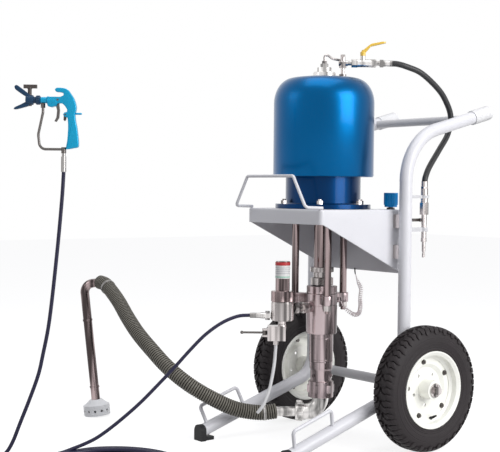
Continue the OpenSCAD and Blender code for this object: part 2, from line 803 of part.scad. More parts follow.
module pump_rod() {
    base = cyl_z + 20;
    color("gainsboro")
        translate([0, pump_y, 0]) {
            translate([0, 0, base + 26]) cylinder(h = coupling_z + 33 - base - 26, d = pump_rod_d);
            translate([0, 0, base]) cylinder(h = 27, d = bore_d - 2 * fit);
        }
}

module packing_nut() {
    color("silver")
        translate([0, pump_y, 0])
            difference() {
                union() {
                    translate([0, 0, arm_top + fit]) cylinder(h = packing_h - fit, d = head_d - 2);
                    translate([0, 0, arm_top - 20]) cylinder(h = 21, d = bore_d + 6);
                }
                translate([0, 0, arm_top - 21]) cylinder(h = 60, d = pump_rod_d + 2 * fit);
                for (k = [0:5]) rotate(60 * k + 20)
                    translate([head_d / 2, 0, arm_top + 8]) cylinder(h = 30, d = 14);
            }
}

module pump_head() {
    color([0.72, 0.66, 0.66])
        difference() {
            translate([0, pump_y, 0]) {
                translate([0, 0, head_z]) cylinder(h = arm_top - head_z, d = head_d);
                for (a = [90, 210, 330]) rotate(a) {
                    translate([0, -17, arm_z]) cube([tie_r, 34, arm_t]);
                    translate([tie_r, 0, arm_z]) cylinder(h = arm_t, d = 36);
                }
                translate([0, 0, union_z]) rotate([90, 0, 0]) cylinder(h = head_d / 2 + 8, d = 34);
            }
            translate([0, pump_y, head_z - 1]) cylinder(h = arm_top - 24 - head_z, d = bore_d);
            translate([0, pump_y, arm_top - 26]) cylinder(h = 40, d = bore_d + 6 + 2 * fit);
            translate([0, pump_y, head_z - 1]) cylinder(h = 13, d = bore_d + 6 + 2 * fit);
            translate([0, pump_y, union_z]) rotate([90, 0, 0]) cylinder(h = head_d, d = 14);
            for (a = [90, 210, 330]) translate([0, pump_y, 0]) rotate(a)
                translate([tie_r, 0, arm_z - 1]) cylinder(h = arm_t + 2, d = 16 + 2 * fit);
        }
}

module pump_cylinder() {
    color("silver")
        translate([0, pump_y, 0])
            difference() {
                union() {
                    translate([0, 0, cyl_z]) cylinder(h = head_z - cyl_z - fit, d = cyl_d);
                    translate([0, 0, head_z - 1]) cylinder(h = 11, d = bore_d + 6);
                }
                translate([0, 0, cyl_z - 1]) cylinder(h = 120, d = bore_d);
            }
}

module foot_valve() {
    color("silver")
        translate([0, pump_y, 0])
            difference() {
                union() {
                    translate([0, 0, cyl_z - 2]) cylinder(h = 14, d = bore_d - 2 * fit);
                    translate([0, 0, cyl_z - 26]) cylinder(h = 26 - fit, d = cyl_d - 4);
                    translate([0, 0, 203]) cylinder(h = cyl_z - 26 - 202, d = 70);
                    translate([0, 0, 148]) cylinder(h = 56, d = 84);
                    translate([0, 0, 162]) hexagon(80, 30);
                }
                translate([0, 0, 140]) cylinder(h = 200, d = 26);
                translate([0, 0, 147]) cylinder(h = 13, d = 42 + 2 * fit);
            }
}

module intake_elbow() {
    color("silver")
        difference() {
            union() {
                bent_bar([[0, pump_y, 148 - fit], [0, pump_y, intake_z],
                    [0, pump_y, intake_z] + reach * 56], 26, [50]);
                translate([0, pump_y, 147]) cylinder(h = 12, d = 42);
            }
            bent_bar([[0, pump_y, 166], [0, pump_y, intake_z],
                [0, pump_y, intake_z] + reach * 60], 15, [50]);
        }
}

// Union nut with three lugs, and the pipe that the suction hose pushes over
module intake_union() {
    start = [0, pump_y, intake_z] + reach * 56.2;
    color("silver")
        along(start, reach)
            difference() {
                union() {
                    cylinder(h = 28, d = 60);
                    for (k = [0:2]) rotate(120 * k + 30) translate([26, -6, 3]) cube([13, 12, 22]);
                    translate([0, 0, 27]) cylinder(h = 66, d = 33);
                }
                translate([0, 0, -1]) cylinder(h = 100, d = 25);
            }
}

module suction_hose() {
    color([0.3, 0.31, 0.29]) hose(suction_route, suction_d, 2, 12, side);
}

module clamp_at(a, b) {
    along(a, b - a) ring(suction_d + 5, suction_d + 1.2, 9);
}

module hose_clamps() {
    n = len(suction_route) - 1;
    color("gainsboro") {
        clamp_at(lerp(suction_route[0], suction_route[1], 0.62),
            lerp(suction_route[0], suction_route[1], 1));
        clamp_at(lerp(suction_route[n - 2], suction_route[n - 1], 0.25),
            lerp(suction_route[n - 2], suction_route[n - 1], 1));
    }
}

// ---- Siphon tube that stands beside the cart ----
siphon_foot = [-788, -580, 0];
siphon_lean = 6.2;
siphon_bend = 34;
siphon_wall = 2.5;

module siphon_frame() {
    translate(siphon_foot) rotate([0, 0, intake_angle]) rotate([0, siphon_lean, 0]) children();
}

module siphon_tube() {
    color("silver") {
        difference() {
            bent_bar(siphon_line(0), siphon_d / 2, [siphon_bend]);
            bent_bar(siphon_line(2), siphon_d / 2 - siphon_wall, [siphon_bend]);
        }
        siphon_frame()
            for (z = [104, 352]) translate([0, 0, z]) ring(siphon_d + 4, siphon_d + 2 * fit, 7);
    }
}

function siphon_up() = unit([reach[0] * sin(siphon_lean), reach[1] * sin(siphon_lean),
    cos(siphon_lean)]);

function siphon_line(extra) =
    let (n = len(suction_route) - 1,
        out = unit(suction_route[n - 1] - suction_route[n]),
        join = suction_route[n] - out * 0.2,
        peak = siphon_foot + siphon_up() * 487)
    [siphon_foot + siphon_up() * (52 - extra), peak, join + unit(join - peak) * extra];

module siphon_strainer() {
    color("white")
        siphon_frame()
            difference() {
                union() {
                    translate([0, 0, 3.9]) cylinder(h = 38, d = strainer_d);
                    translate([0, 0, 41]) cylinder(h = 20, d1 = strainer_d - 6, d2 = siphon_d + 12);
                }
                translate([0, 0, 9]) cylinder(h = 29, d = strainer_d - 8);
                translate([0, 0, 30]) cylinder(h = 40, d = siphon_d + 2 * fit);
                for (k = [0:11]) rotate(30 * k) translate([strainer_d / 2 - 10, 0, 22])
                    rotate([0, 90, 0]) cylinder(h = 20, d = 9);
            }
}

// ---- Fluid filter in front of the pump ----
module filter_union() {
    start = head_d / 2 + 8.2;
    length = filter_set - start - filter_d / 2 - 0.4;
    color("silver")
        translate([0, pump_y - start, union_z]) rotate([90, 0, 0])
            difference() {
                union() {
                    cylinder(h = length, d = 26);
                    translate([0, 0, 3]) hexagon(36, 24);
                    translate([0, 0, length - 25]) hexagon(34, 20);
                }
                translate([0, 0, -1]) cylinder(h = length + 2, d = 12);
            }
}

module filter_body() {
    color("silver")
        translate([0, filter_y, 0])
            difference() {
                union() {
                    translate([0, 0, filter_foot])
                        cylinder(h = filter_ring_z - filter_foot - fit, d = filter_d);
                    translate([0, 0, filter_foot - 12]) cylinder(h = 13, d = 24);
                }
                translate([0, 0, filter_foot + 12])
                    cylinder(h = filter_ring_z, d = bowl_d - 12);
                translate([0, 0, union_z]) rotate([-90, 0, 0]) cylinder(h = 60, d = 12);
                translate([0, 0, outlet_z]) along([0, 0, 0], reach) cylinder(h = 60, d = 10);
                translate([0, 0, filter_foot - 20]) cylinder(h = 40, d = 8);
            }
}

module filter_bowl() {
    color("silver")
        translate([0, filter_y, 0])
            difference() {
                union() {
                    translate([0, 0, filter_ring_z])
                        cylinder(h = filter_ring_top - filter_ring_z, d = filter_d);
                    translate([0, 0, filter_ring_top - 1])
                        cylinder(h = bowl_top - filter_ring_top + 1, d = bowl_d);
                    translate([0, 0, bowl_top - 6]) cylinder(h = 6, d = bowl_d + 1);
                }
                translate([0, 0, filter_ring_z - 1])
                    cylinder(h = bowl_top - filter_ring_z - 7, d = bowl_d - 8);
                for (k = [0:23]) rotate(15 * k) translate([filter_d / 2 + 0.6, 0, filter_ring_z + 4])
                    cylinder(h = 27, d = 4);
            }
}

drain_at = [reach[0] * 18, filter_y + reach[1] * 18, drain_z];
lever_pin = drain_at + reach * 39;

// Block with the drain cock, its outlet pipe below and a fork for the lever
module drain_valve() {
    color("silver")
        difference() {
            union() {
                translate([0, filter_y, drain_z + 10])
                    cylinder(h = filter_foot - 12 - drain_z - 10 - fit, d = 26);
                translate(drain_at) rotate(intake_angle) {
                    translate([-29, -22, -25]) cube([58, 44, 48]);
                    for (z = [-13.5, 7.5]) translate([28, -8, z]) cube([19, 16, 6]);
                }
                translate([drain_route[0][0], drain_route[0][1], drain_z - 39.8])
                    cylinder(h = 20, d = 16);
            }
            translate(lever_pin - [0, 0, 20]) cylinder(h = 40, d = 5 + 2 * fit);
        }
}

module drain_lever() {
    color("gray") {
        translate(lever_pin - [0, 0, 14]) cylinder(h = 28, d = 5);
        translate(lever_pin - [0, 0, 7]) cylinder(h = 14, d = 14);
        along(lever_pin, reach) {
            cylinder(h = drain_lever_len - 12, d = 7);
            translate([0, 0, drain_lever_len - 14]) sphere(d = 11);
        }
    }
}

module drain_tube() {
    color("white") hose(drain_route, drain_d, 3, 8, [1, 0, 0]);
}

module outlet_fitting() {
    start = [0, filter_y, outlet_z] + reach * (filter_d / 2 + 0.4);
    stop = run_route[0] - start;
    color("silver")
        along(start, reach)
            difference() {
                union() {
                    cylinder(h = 14, d = 18);
                    translate([0, 0, 3]) hexagon(26, 15);
                    translate([0, 0, 17]) cylinder(h = 16, d = 20);
                    translate([0, 0, 32]) cylinder(h = norm(stop) - 32.2, d = 17);
                }
                translate([0, 0, -1]) cylinder(h = 30, d = 9);
            }
}

module pressure_hose_run() {
    color([0.1, 0.1, 0.35]) hose(run_route, pressure_d, 3, 8, side);
}

// Three turns across and two high
module pressure_hose_coil() {
    color([0.1, 0.1, 0.35])
        translate([spool_at[0], spool_at[1], 0])
            rotate_extrude($fn = 96)
                translate([spool_r - 1.5 * pressure_d, 0]) square([3 * pressure_d, 2 * pressure_d]);
}

module pressure_hose_riser() {
    color([0.1, 0.1, 0.35]) hose(riser_route, pressure_d, 3, 8, side);
}

// ---- Spray gun at the end of the hose ----
gun_at = [-199, -1037, 952];

module hose_ferrule() {
    last = riser_route[len(riser_route) - 1];
    color("silver")
        translate([gun_at[0], gun_at[1], 0]) {
            translate([0, 0, last[2] + 0.2]) cylinder(h = 46, d = 16);
            translate([0, 0, last[2] + 45]) cylinder(h = 18, d = 12);
        }
}

// Draws its children in the gun's own plane: +X forward, +Y up, centred on its thickness
module gun_plane(thick) {
    translate(gun_at) rotate([0, 0, intake_angle]) rotate([90, 0, 0])
        translate([0, 0, -thick / 2]) linear_extrude(thick) children();
}

module gun_space() {
    translate(gun_at) rotate([0, 0, intake_angle]) children();
}

trigger_pin = [17, 150];
lock_pin = [-6, 106];
lock_side = 6.6;
lock_t = 4;

module gun_pin(at, r, length) {
    gun_space() translate([at[0], -length / 2, at[1]]) rotate([-90, 0, 0])
        cylinder(h = length, r = r);
}

module gun_body() {
    color([0.05, 0.4, 0.75])
        difference() {
            union() {
                gun_plane(gun_t) polygon([[-7.8, 3], [-45, 10], [-43, 45], [-36, 88], [-34, 106],
                    [-38, 128], [-34, 142], [-22, 168], [-8, 184], [20, 186], [26, 178], [22, 174],
                    [2, 172], [0, 162], [12, 159], [26, 159], [48, 158], [48, 130], [36, 128],
                    [22, 136], [8, 140], [-4, 132], [-12, 118], [-3, 112], [1, 106], [-3, 100],
                    [-12, 96], [-14, 60], [-12, 30]]);
                gun_space() translate([20, 0, 145]) rotate([0, 90, 0]) cylinder(h = 28, d = 30);
                gun_space() translate([46, 0, 149]) rotate([0, 90, 0]) cylinder(h = 24, d = 19);
                gun_space() translate([-54, 0, 109]) rotate([0, 90, 0]) cylinder(h = 22, d = 6);
            }
            gun_pin(trigger_pin, 3 + fit, 3 * gun_t);
            gun_pin(lock_pin, 2.5 + fit, 3 * gun_t);
            gun_plane(9) polygon([[-1, 118], [3, 150], [6, 165], [30, 172], [30, 118]]);
            translate(side * lock_side) gun_plane(lock_t + 10 * fit)
                polygon([[-14, 84], [-12, 113], [4, 118], [6, 84]]);
        }
}

// Trigger blade on its pin through the gun body
module gun_trigger() {
    color("dimgray") {
        gun_plane(8) polygon([[11, 155], [23, 156], [26, 146], [24, 134], [20, 118], [22, 98],
            [28, 86], [22, 84], [14, 96], [12, 118], [14, 136]]);
        gun_pin(trigger_pin, 3, gun_t + 4);
    }
}

// Safety catch that turns up beside the trigger
module gun_lock() {
    color("orange") {
        translate(side * lock_side) gun_plane(lock_t)
            polygon([[-10, 106], [-8, 110], [-3, 110], [-1, 106], [0, 90], [-4, 86], [-8, 90]]);
        gun_pin(lock_pin, 2.5, gun_t + 3);
    }
}

// Bent pipe from the swivel up to the gun's nose, in front of the trigger
module gun_fluid_tube() {
    color("gray")
        difference() {
            union() {
                gun_space()
                    bent_bar([[0, 0, 2], [72, 0, 2], [77, 0, 46], [63, 0, 112], [63, 0, 131]], 4,
                        [20, 40, 30]);
                gun_space() translate([63, 0, 126]) hexagon(12, 13.2);
                translate(gun_at + [0, 0, -9.7]) cylinder(h = 18, d = 15);
            }
            translate(gun_at + [0, 0, -12]) cylinder(h = 12, d = 12 + 2 * fit);
        }
}

// Retaining nut and the guard's two wings
module tip_guard() {
    color([0.06, 0.12, 0.25])
        difference() {
            union() {
                gun_space() translate([70.2, 0, 149]) rotate([0, 90, 0]) {
                    cylinder(h = 14, d = 26);
                    translate([0, 0, 13]) cylinder(h = 18, d = 20);
                }
                gun_space() translate([92, 0, 149]) rotate([0, 90, 0]) cylinder(h = 22, d = 30);
                gun_plane(16) {
                    polygon([[96, 160], [104, 166], [140, 194], [148, 190], [146, 180], [112, 158]]);
                    polygon([[100, 142], [112, 144], [148, 126], [150, 120], [142, 121], [104, 132]]);
                }
            }
            gun_space() translate([66, 0, 149]) rotate([0, 90, 0]) cylinder(h = 60, d = 9);
            gun_space() translate([103, 0, 149]) cylinder(h = 60, d = 12 + 2 * fit, center = true);
            gun_plane(8) polygon([[112, 168], [138, 188], [140, 183], [116, 164]]);
        }
}

module spray_tip() {
    color([0.2, 0.18, 0.16])
        gun_space() translate([103, 0, 0])
            difference() {
                union() {
                    translate([0, 0, 131]) cylinder(h = 52, d = 12);
                    translate([0, 0, 182]) cylinder(h = 4, d = 14);
                    translate([-22, -5, 184]) cube([40, 10, 11]);
                }
                translate([-10, 0, 149]) rotate([0, 90, 0]) cylinder(h = 20, d = 2);
            }
}

module earth_lead() {
    color([0.6, 0.2, 0.2]) hose(earth_route, lead_d, 3, 8, [1, 0, 0]);
}

frame_tube(-tube_x);  // frame_tube_left
frame_tube(tube_x);  // frame_tube_right
axle_bar();
axle_sleeve();
handle_crossbar();
handle_grips();
rail_hoops();
rubber_feet();
motor_bracket();
bracket_mounts();
lift_handle();
rim(-wheel_x, -1);  // rim_left
rim(wheel_x, 1);  // rim_right
tyre(-wheel_x);  // tyre_left
tyre(wheel_x);  // tyre_right
motor_shell();
motor_cylinder();
fasteners();
air_piston();
connecting_rod();
pilot_cap();
air_manifold();
air_valve_body();
air_valve_lever();
air_hose();
inlet_valve();
inlet_lever();
inlet_bracket();
regulator_body();
regulator_knob();
tie_rods();
rod_coupling();
pump_rod();
packing_nut();
pump_head();
pump_cylinder();
foot_valve();
intake_elbow();
intake_union();
suction_hose();
hose_clamps();
siphon_tube();
siphon_strainer();
filter_union();
filter_body();
filter_bowl();
drain_valve();
drain_lever();
drain_tube();
outlet_fitting();
pressure_hose_run();
pressure_hose_coil();
pressure_hose_riser();
hose_ferrule();
gun_body();
gun_trigger();
gun_lock();
gun_fluid_tube();
tip_guard();
spray_tip();
earth_lead();
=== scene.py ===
"""An airless paint sprayer: surface finishes, hoses and fine detail around its packed construction model.

Everything is in metres in the construction model's own frame: +X along the axle, -Y to the skids, +Z up.
"""

from math import atan2, cos, pi, radians, sin, sqrt, tan

import bmesh
import bpy
from mathutils import Matrix, Vector


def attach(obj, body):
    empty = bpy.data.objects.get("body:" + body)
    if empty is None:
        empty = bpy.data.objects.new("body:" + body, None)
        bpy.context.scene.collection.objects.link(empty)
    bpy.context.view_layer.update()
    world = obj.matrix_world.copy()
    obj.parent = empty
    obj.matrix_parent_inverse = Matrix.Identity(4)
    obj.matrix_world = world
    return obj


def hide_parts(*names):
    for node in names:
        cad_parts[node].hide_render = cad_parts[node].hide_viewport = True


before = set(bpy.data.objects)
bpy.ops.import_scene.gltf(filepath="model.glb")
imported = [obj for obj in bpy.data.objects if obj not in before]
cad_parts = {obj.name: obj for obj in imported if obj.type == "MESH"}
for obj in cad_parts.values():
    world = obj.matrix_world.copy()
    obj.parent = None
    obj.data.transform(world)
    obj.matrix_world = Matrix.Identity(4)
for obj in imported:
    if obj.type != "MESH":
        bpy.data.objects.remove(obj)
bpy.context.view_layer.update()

MM = 0.001
TURN = 2 * pi
UP = Vector((0, 0, 1))

# The pump's and the filter's axes, and the upright plane in which the intake, outlet and top pipework lie.
PUMP_Y = -0.176
PUMP_AXIS = Vector((0, PUMP_Y, 0))
FILTER_AXIS = Vector((0, -0.345, 0))
REACH_ANGLE = radians(232.7)
REACH = Vector((cos(REACH_ANGLE), sin(REACH_ANGLE), 0))
SIDE = Vector((-REACH.y, REACH.x, 0))


def link(name, data):
    """A new object in the scene."""
    made = bpy.data.objects.new(name, data)
    bpy.context.scene.collection.objects.link(made)
    return made


# ---- camera, light and floor
IMAGE_W, FOCAL_PX, SENSOR_MM = 500, 1129.38, 36
CAMERA_AT = (2.8503, -2.6537, 0.83465)
CAMERA_DEGREES = (52.68, 1.78, 0.58)


def add_camera():
    """The photograph's own view: a long lens from the right and in front, a little above the axle."""
    azimuth, pitch, roll = (radians(a) for a in CAMERA_DEGREES)
    level = cos(pitch)
    ahead = Vector((-sin(azimuth) * level, cos(azimuth) * level, -sin(pitch)))
    right = Vector((cos(azimuth), sin(azimuth), 0))
    up = right.cross(ahead)
    right, up = right * cos(roll) + up * sin(roll), up * cos(roll) - right * sin(roll)
    camera = link("camera", bpy.data.cameras.new("camera"))
    camera.data.sensor_width = SENSOR_MM
    camera.data.lens = SENSOR_MM * FOCAL_PX / IMAGE_W
    turned_to = Matrix((right, up, -ahead)).transposed().to_4x4()
    camera.matrix_world = Matrix.Translation(CAMERA_AT) @ turned_to
    bpy.context.scene.camera = camera


LAMP_TARGET = Vector((0.0, -0.2, 0.6))


def add_lamp(name, at, size, watts):
    lamp = bpy.data.lights.new(name, "AREA")
    lamp.shape = "RECTANGLE"
    lamp.size, lamp.size_y = size
    lamp.energy = watts
    holder = link(name, lamp)
    holder.location = at
    holder.rotation_euler = (LAMP_TARGET - Vector(at)).to_track_quat("-Z", "Y").to_euler()


class Graph:
    """The shader nodes of a material or the world, with a short way to add and join them."""

    def __init__(self, owner):
        owner.use_nodes = True
        self.nodes, self.links = owner.node_tree.nodes, owner.node_tree.links

    def add(self, kind, values, data_type=None):
        """A node whose inputs are each set to a value or joined to another node's output."""
        node = self.nodes.new("ShaderNode" + kind)
        if data_type:
            node.data_type = data_type
        for name, value in values.items():
            if isinstance(value, bpy.types.NodeSocket):
                self.links.new(value, node.inputs[name])
            else:
                node.inputs[name].default_value = value
        return node

    def ramp(self, factor, start, end, first, last):
        """Runs from one colour to another as factor goes from start to end."""
        node = self.add("ValToRGB", {"Fac": factor})
        for element, place, colour in zip(node.color_ramp.elements, (start, end), (first, last)):
            element.position, element.color = place, (*(min(1.0, c) for c in colour), 1)
        return node.outputs["Color"]

    def over(self, share, under, top):
        """One colour laid over another by a share."""
        return self.add("Mix", {"Factor": share, "A": under, "B": top}, "RGBA").outputs["Result"]

    def background_rays(self):
        """1 where the camera, a mirror or glass looks at the background, and 0 for its light."""
        path = self.nodes.new("ShaderNodeLightPath")
        found = path.outputs["Is Camera Ray"]
        for ray in ("Is Glossy Ray", "Is Transmission Ray"):
            either = self.add("Math", {0: found, 1: path.outputs[ray]})
            either.operation = "MAXIMUM"
            found = either.outputs[0]
        return found


FLOOR_HALF = 14.0
SOFT_LIGHT, SOFT_STRENGTH = (0.95, 0.95, 1.0, 1), 0.42
WHITE_SEEN = (1, 1, 1, 1)
FLOOR_LIT, FLOOR_GLOW = (0.40, 0.40, 0.40, 1), (0.80, 0.80, 0.80, 1)


def add_studio():
    """A white background and floor, a soft light all round and three lamps."""
    bpy.context.scene.view_settings.view_transform = "Standard"
    world = bpy.data.worlds.new("studio")
    bpy.context.scene.world = world
    graph = Graph(world)
    graph.nodes.clear()
    soft = graph.add("Background", {"Color": SOFT_LIGHT, "Strength": SOFT_STRENGTH})
    seen = graph.add("Background", {"Color": WHITE_SEEN, "Strength": 1.0})
    mix = graph.add("MixShader", {"Fac": graph.background_rays(), 1: soft.outputs[0], 2: seen.outputs[0]})
    graph.add("OutputWorld", {"Surface": mix.outputs[0]})

    corners = [(x * FLOOR_HALF, y * FLOOR_HALF, 0) for x, y in ((-1, -1), (1, -1), (1, 1), (-1, 1))]
    mesh = bpy.data.meshes.new("floor")
    mesh.from_pydata(corners, [], [(0, 1, 2, 3)])
    floor = link("floor", mesh)
    pale = bpy.data.materials.new("floor_white")
    graph = Graph(pale)
    graph.nodes.clear()
    lit = graph.add("BsdfDiffuse", {"Color": FLOOR_LIT})
    glow = graph.add("Emission", {"Color": FLOOR_GLOW, "Strength": graph.background_rays()})
    both = graph.add("AddShader", {0: lit.outputs[0], 1: glow.outputs[0]})
    graph.add("OutputMaterial", {"Surface": both.outputs[0]})
    mesh.materials.append(pale)

    add_lamp("key_right", (3.6, 0.6, 1.9), (2.3, 2.6), 124)
    add_lamp("fill_left", (-1.6, -3.6, 2.2), (1.6, 1.6), 12)
    add_lamp("top_soft", (0.2, -0.6, 3.9), (2.6, 2.6), 42)


add_camera()
add_studio()


# ---- finishes
COAT_ROUGHNESS, BUMP_DEPTH = 0.06, 0.0006
# The second is how much of a metal's colour its painted reflection streaks take over.
BLEMISH_SHADE, REFLECTION_STREAK_SHARE = 0.45, 0.8


def finish(name, colour, roughness=0.5, metallic=0.0, shift=0.06, grain=120.0, stretch=(1, 1, 1), bump=0.05,
           coat=0.0, worn=None, spots=0.0, specular=0.5, reflection_bands=None, coat_ior=1.5):
    """A painted, moulded or metal surface: colour and gloss vary with two noises, over a faint bump.

    worn is the colour at edges that rub, spots is how far small blemishes darken it, and the two shares for
    painted reflections are the dark and the light tone of upright streaks that stand in for what a metal
    reflects.
    """

    def tone(share):
        return tuple(c * share for c in colour)

    material = bpy.data.materials.new(name)
    graph = Graph(material)
    add = graph.add
    where = graph.nodes.new("ShaderNodeTexCoord").outputs["Object"]
    scaled = add("Mapping", {"Vector": where, "Scale": stretch}).outputs[0]
    fine = add("TexNoise", {"Vector": scaled, "Scale": grain, "Detail": 6}).outputs["Fac"]
    broad = add("TexNoise", {"Vector": where, "Scale": 9, "Detail": 3}).outputs["Fac"]
    blend = add("Mix", {0: 0.5, 2: fine, 3: broad}, "FLOAT").outputs[0]
    shade = graph.ramp(blend, 0.3, 0.7, tone(1 - shift), tone(1 + shift))

    if spots:
        marks = add("TexNoise", {"Vector": where, "Scale": 38, "Detail": 9, "Roughness": 0.75}).outputs["Fac"]
        keep = add("MapRange", {"Value": marks, "From Min": 0.60, "From Max": 0.72, "To Max": spots})
        shade = graph.over(keep.outputs["Result"], shade, (*tone(BLEMISH_SHADE), 1))
    if worn:
        form = graph.nodes.new("ShaderNodeNewGeometry")
        edge = add("MapRange", {"Value": form.outputs["Pointiness"], "From Min": 0.56, "From Max": 0.66})
        rub = add("Math", {0: edge.outputs["Result"], 1: fine})
        rub.operation = "MULTIPLY"
        shade = graph.over(rub.outputs[0], shade, (*worn, 1))
    # Painted reflections: upright light and dark streaks in the colour stand in for what polished metal
    # reflects.
    if reflection_bands:
        reflection_space = add("Mapping", {"Vector": where, "Scale": (46, 46, 1.6)}).outputs[0]
        streaks = add("TexNoise", {"Vector": reflection_space, "Scale": 1.0, "Detail": 2.5}).outputs["Fac"]
        steps = graph.ramp(streaks, 0.40, 0.60, *(tone(share) for share in reflection_bands))
        shade = graph.over(REFLECTION_STREAK_SHARE, shade, steps)

    gloss = add("MapRange", {"Value": blend, "To Min": max(0.02, roughness * 0.8),
                             "To Max": min(1.0, roughness * 1.25)})
    relief = add("Bump", {"Strength": bump, "Distance": BUMP_DEPTH, "Height": fine})
    skin = graph.nodes["Principled BSDF"].inputs
    for socket, value in (("Metallic", metallic), ("Coat Weight", coat), ("Coat Roughness", COAT_ROUGHNESS),
                          ("Coat IOR", coat_ior), ("Specular IOR Level", specular)):
        skin[socket].default_value = value
    for socket, source in (("Base Color", shade), ("Roughness", gloss.outputs["Result"]),
                           ("Normal", relief.outputs["Normal"])):
        graph.links.new(source, skin[socket])
    return material


WHITE = finish("white_paint", (0.71, 0.71, 0.745), 0.34, coat=0.2, shift=0.03, grain=700, bump=0.06,
               spots=0.12, worn=(0.42, 0.42, 0.42), specular=0.35)
CREAM = finish("rim_cream", (0.93, 0.93, 0.875), 0.36, coat=0.2, shift=0.04, grain=500, bump=0.08,
               spots=0.2)
RUBBER = finish("tyre_rubber", (0.020, 0.016, 0.0175), 0.55, shift=0.25, grain=300, bump=0.35, spots=0.3,
                specular=0.25)
BLACK = finish("black_rubber", (0.018, 0.018, 0.020), 0.50, shift=0.2, grain=420, bump=0.25, specular=0.25)
GRIP = finish("grip_pale", (0.78, 0.78, 0.79), 0.55, shift=0.05, grain=900, bump=0.3, specular=0.3)
MOTOR = finish("motor_blue", (0.001, 0.088, 0.240), 0.33, metallic=1.0, coat=0.6, shift=0.05, grain=2200,
               bump=0.015, coat_ior=1.15)
NECK = finish("neck_blue", (0.001, 0.028, 0.100), 0.34, metallic=1.0, coat=1.0, shift=0.08, grain=1500,
              bump=0.02, coat_ior=1.15)
# The four metals below carry painted reflections as upright light and dark streaks in their colour.
STEEL = finish("turned_steel", (0.34, 0.315, 0.31), 0.24, metallic=1.0, shift=0.16, grain=260,
               stretch=(1, 1, 9), bump=0.08, spots=0.25, reflection_bands=(0.25, 2.2))
PLATED = finish("plated_pump", (0.225, 0.185, 0.19), 0.22, metallic=1.0, shift=0.16, grain=240,
                stretch=(1, 1, 8), bump=0.07, spots=0.25, reflection_bands=(0.28, 2.5))
BRIGHT = finish("bright_plated", (0.50, 0.485, 0.475), 0.28, metallic=1.0, shift=0.16, grain=260, bump=0.1,
                spots=0.25, reflection_bands=(0.35, 1.7))
# Its dark base colour is a painted dark reflection, far darker than chrome's own; its streaks are painted
# reflections as well.
CHROME = finish("chrome_rod", (0.150, 0.118, 0.118), 0.14, metallic=1.0, shift=0.10, grain=160,
                stretch=(1, 1, 0.2), bump=0.03, reflection_bands=(0.22, 3.2))
DARK = finish("dark_plated", (0.13, 0.12, 0.115), 0.32, metallic=1.0, shift=0.15, grain=400, bump=0.1,
              spots=0.3)
YELLOW = finish("lever_yellow", (0.80, 0.52, 0.06), 0.35, coat=0.3, grain=600, bump=0.08)
KNOB = finish("knob_blue", (0.001, 0.27, 0.66), 0.38, coat=0.1, shift=0.08, grain=900, bump=0.12,
              specular=0.2)
HOSE_BLACK = finish("air_hose_black", (0.018, 0.018, 0.020), 0.38, shift=0.2, grain=500, bump=0.15,
                    specular=0.4)
RIBBED = finish("suction_grey", (0.155, 0.145, 0.120), 0.44, shift=0.12, grain=320, bump=0.12)
# Painted shade: the suction hose's grooves take this near-black colour for the shade that falls in them.
GROOVE_SHADE = finish("suction_groove_shade", (0.018, 0.016, 0.014), 0.6, shift=0.2, grain=320, bump=0.12, specular=0.2)
NAVY = finish("pressure_navy", (0.011, 0.010, 0.040), 0.36, coat=0.05, shift=0.12, grain=500, bump=0.1,
              specular=0.3)
CLEAR = finish("drain_white", (0.74, 0.74, 0.75), 0.35, coat=0.2, shift=0.04, grain=400)
CUP = finish("strainer_pale", (0.86, 0.87, 0.89), 0.4, coat=0.2, shift=0.04, grain=300, bump=0.08)
GUN = finish("gun_blue", (0.003, 0.36, 0.62), 0.36, metallic=0.4, coat=0.1, grain=800, bump=0.06,
             specular=0.3)
GUARD = finish("guard_navy", (0.004, 0.040, 0.100), 0.4, coat=0.1, shift=0.12, grain=600, bump=0.1,
               specular=0.3)
TIP = finish("tip_dark", (0.085, 0.070, 0.065), 0.4, shift=0.15, grain=600, bump=0.15, specular=0.3)
RED = finish("label_red", (0.50, 0.025, 0.03), 0.4, grain=500, bump=0.03)
CURL = finish("lead_curl", (0.86, 0.74, 0.75), 0.25, coat=0.4, shift=0.25, grain=60)
GREEN = finish("label_green", (0.32, 0.58, 0.45), 0.4, shift=0.05, grain=500, bump=0.03)
PAPER = finish("label_white", (0.76, 0.76, 0.75), 0.42, shift=0.03, grain=500, bump=0.03)
PRINT = finish("label_grey", (0.42, 0.43, 0.46), 0.45, shift=0.05, grain=500, bump=0.03)

CAD_FINISH = {
    WHITE: ["frame_tube_left", "frame_tube_right", "axle_sleeve", "handle_crossbar", "rail_hoops",
            "lift_handle", "inlet_bracket"],
    CREAM: ["rim_left", "rim_right"],
    BLACK: ["rubber_feet"],
    STEEL: ["axle_bar", "bracket_mounts", "fasteners", "air_piston", "air_manifold", "inlet_valve",
            "filter_union", "drain_valve"],
    BRIGHT: ["air_valve_body", "intake_elbow", "hose_clamps", "outlet_fitting", "hose_ferrule",
             "pilot_cap"],
    CHROME: ["connecting_rod", "tie_rods", "pump_rod", "siphon_tube"],
    DARK: ["inlet_lever", "regulator_body", "drain_lever", "gun_trigger", "gun_fluid_tube"],
    YELLOW: ["air_valve_lever"],
    KNOB: ["regulator_knob"],
    CUP: ["siphon_strainer"],
    TIP: ["spray_tip", "gun_lock"],
}


def dress_cad():
    """Each construction node that stays in view takes its finish; pieces below stand in for the others."""
    for material, names in CAD_FINISH.items():
        for name in names:
            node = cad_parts[name]
            node.data.materials.clear()
            node.data.materials.append(material)


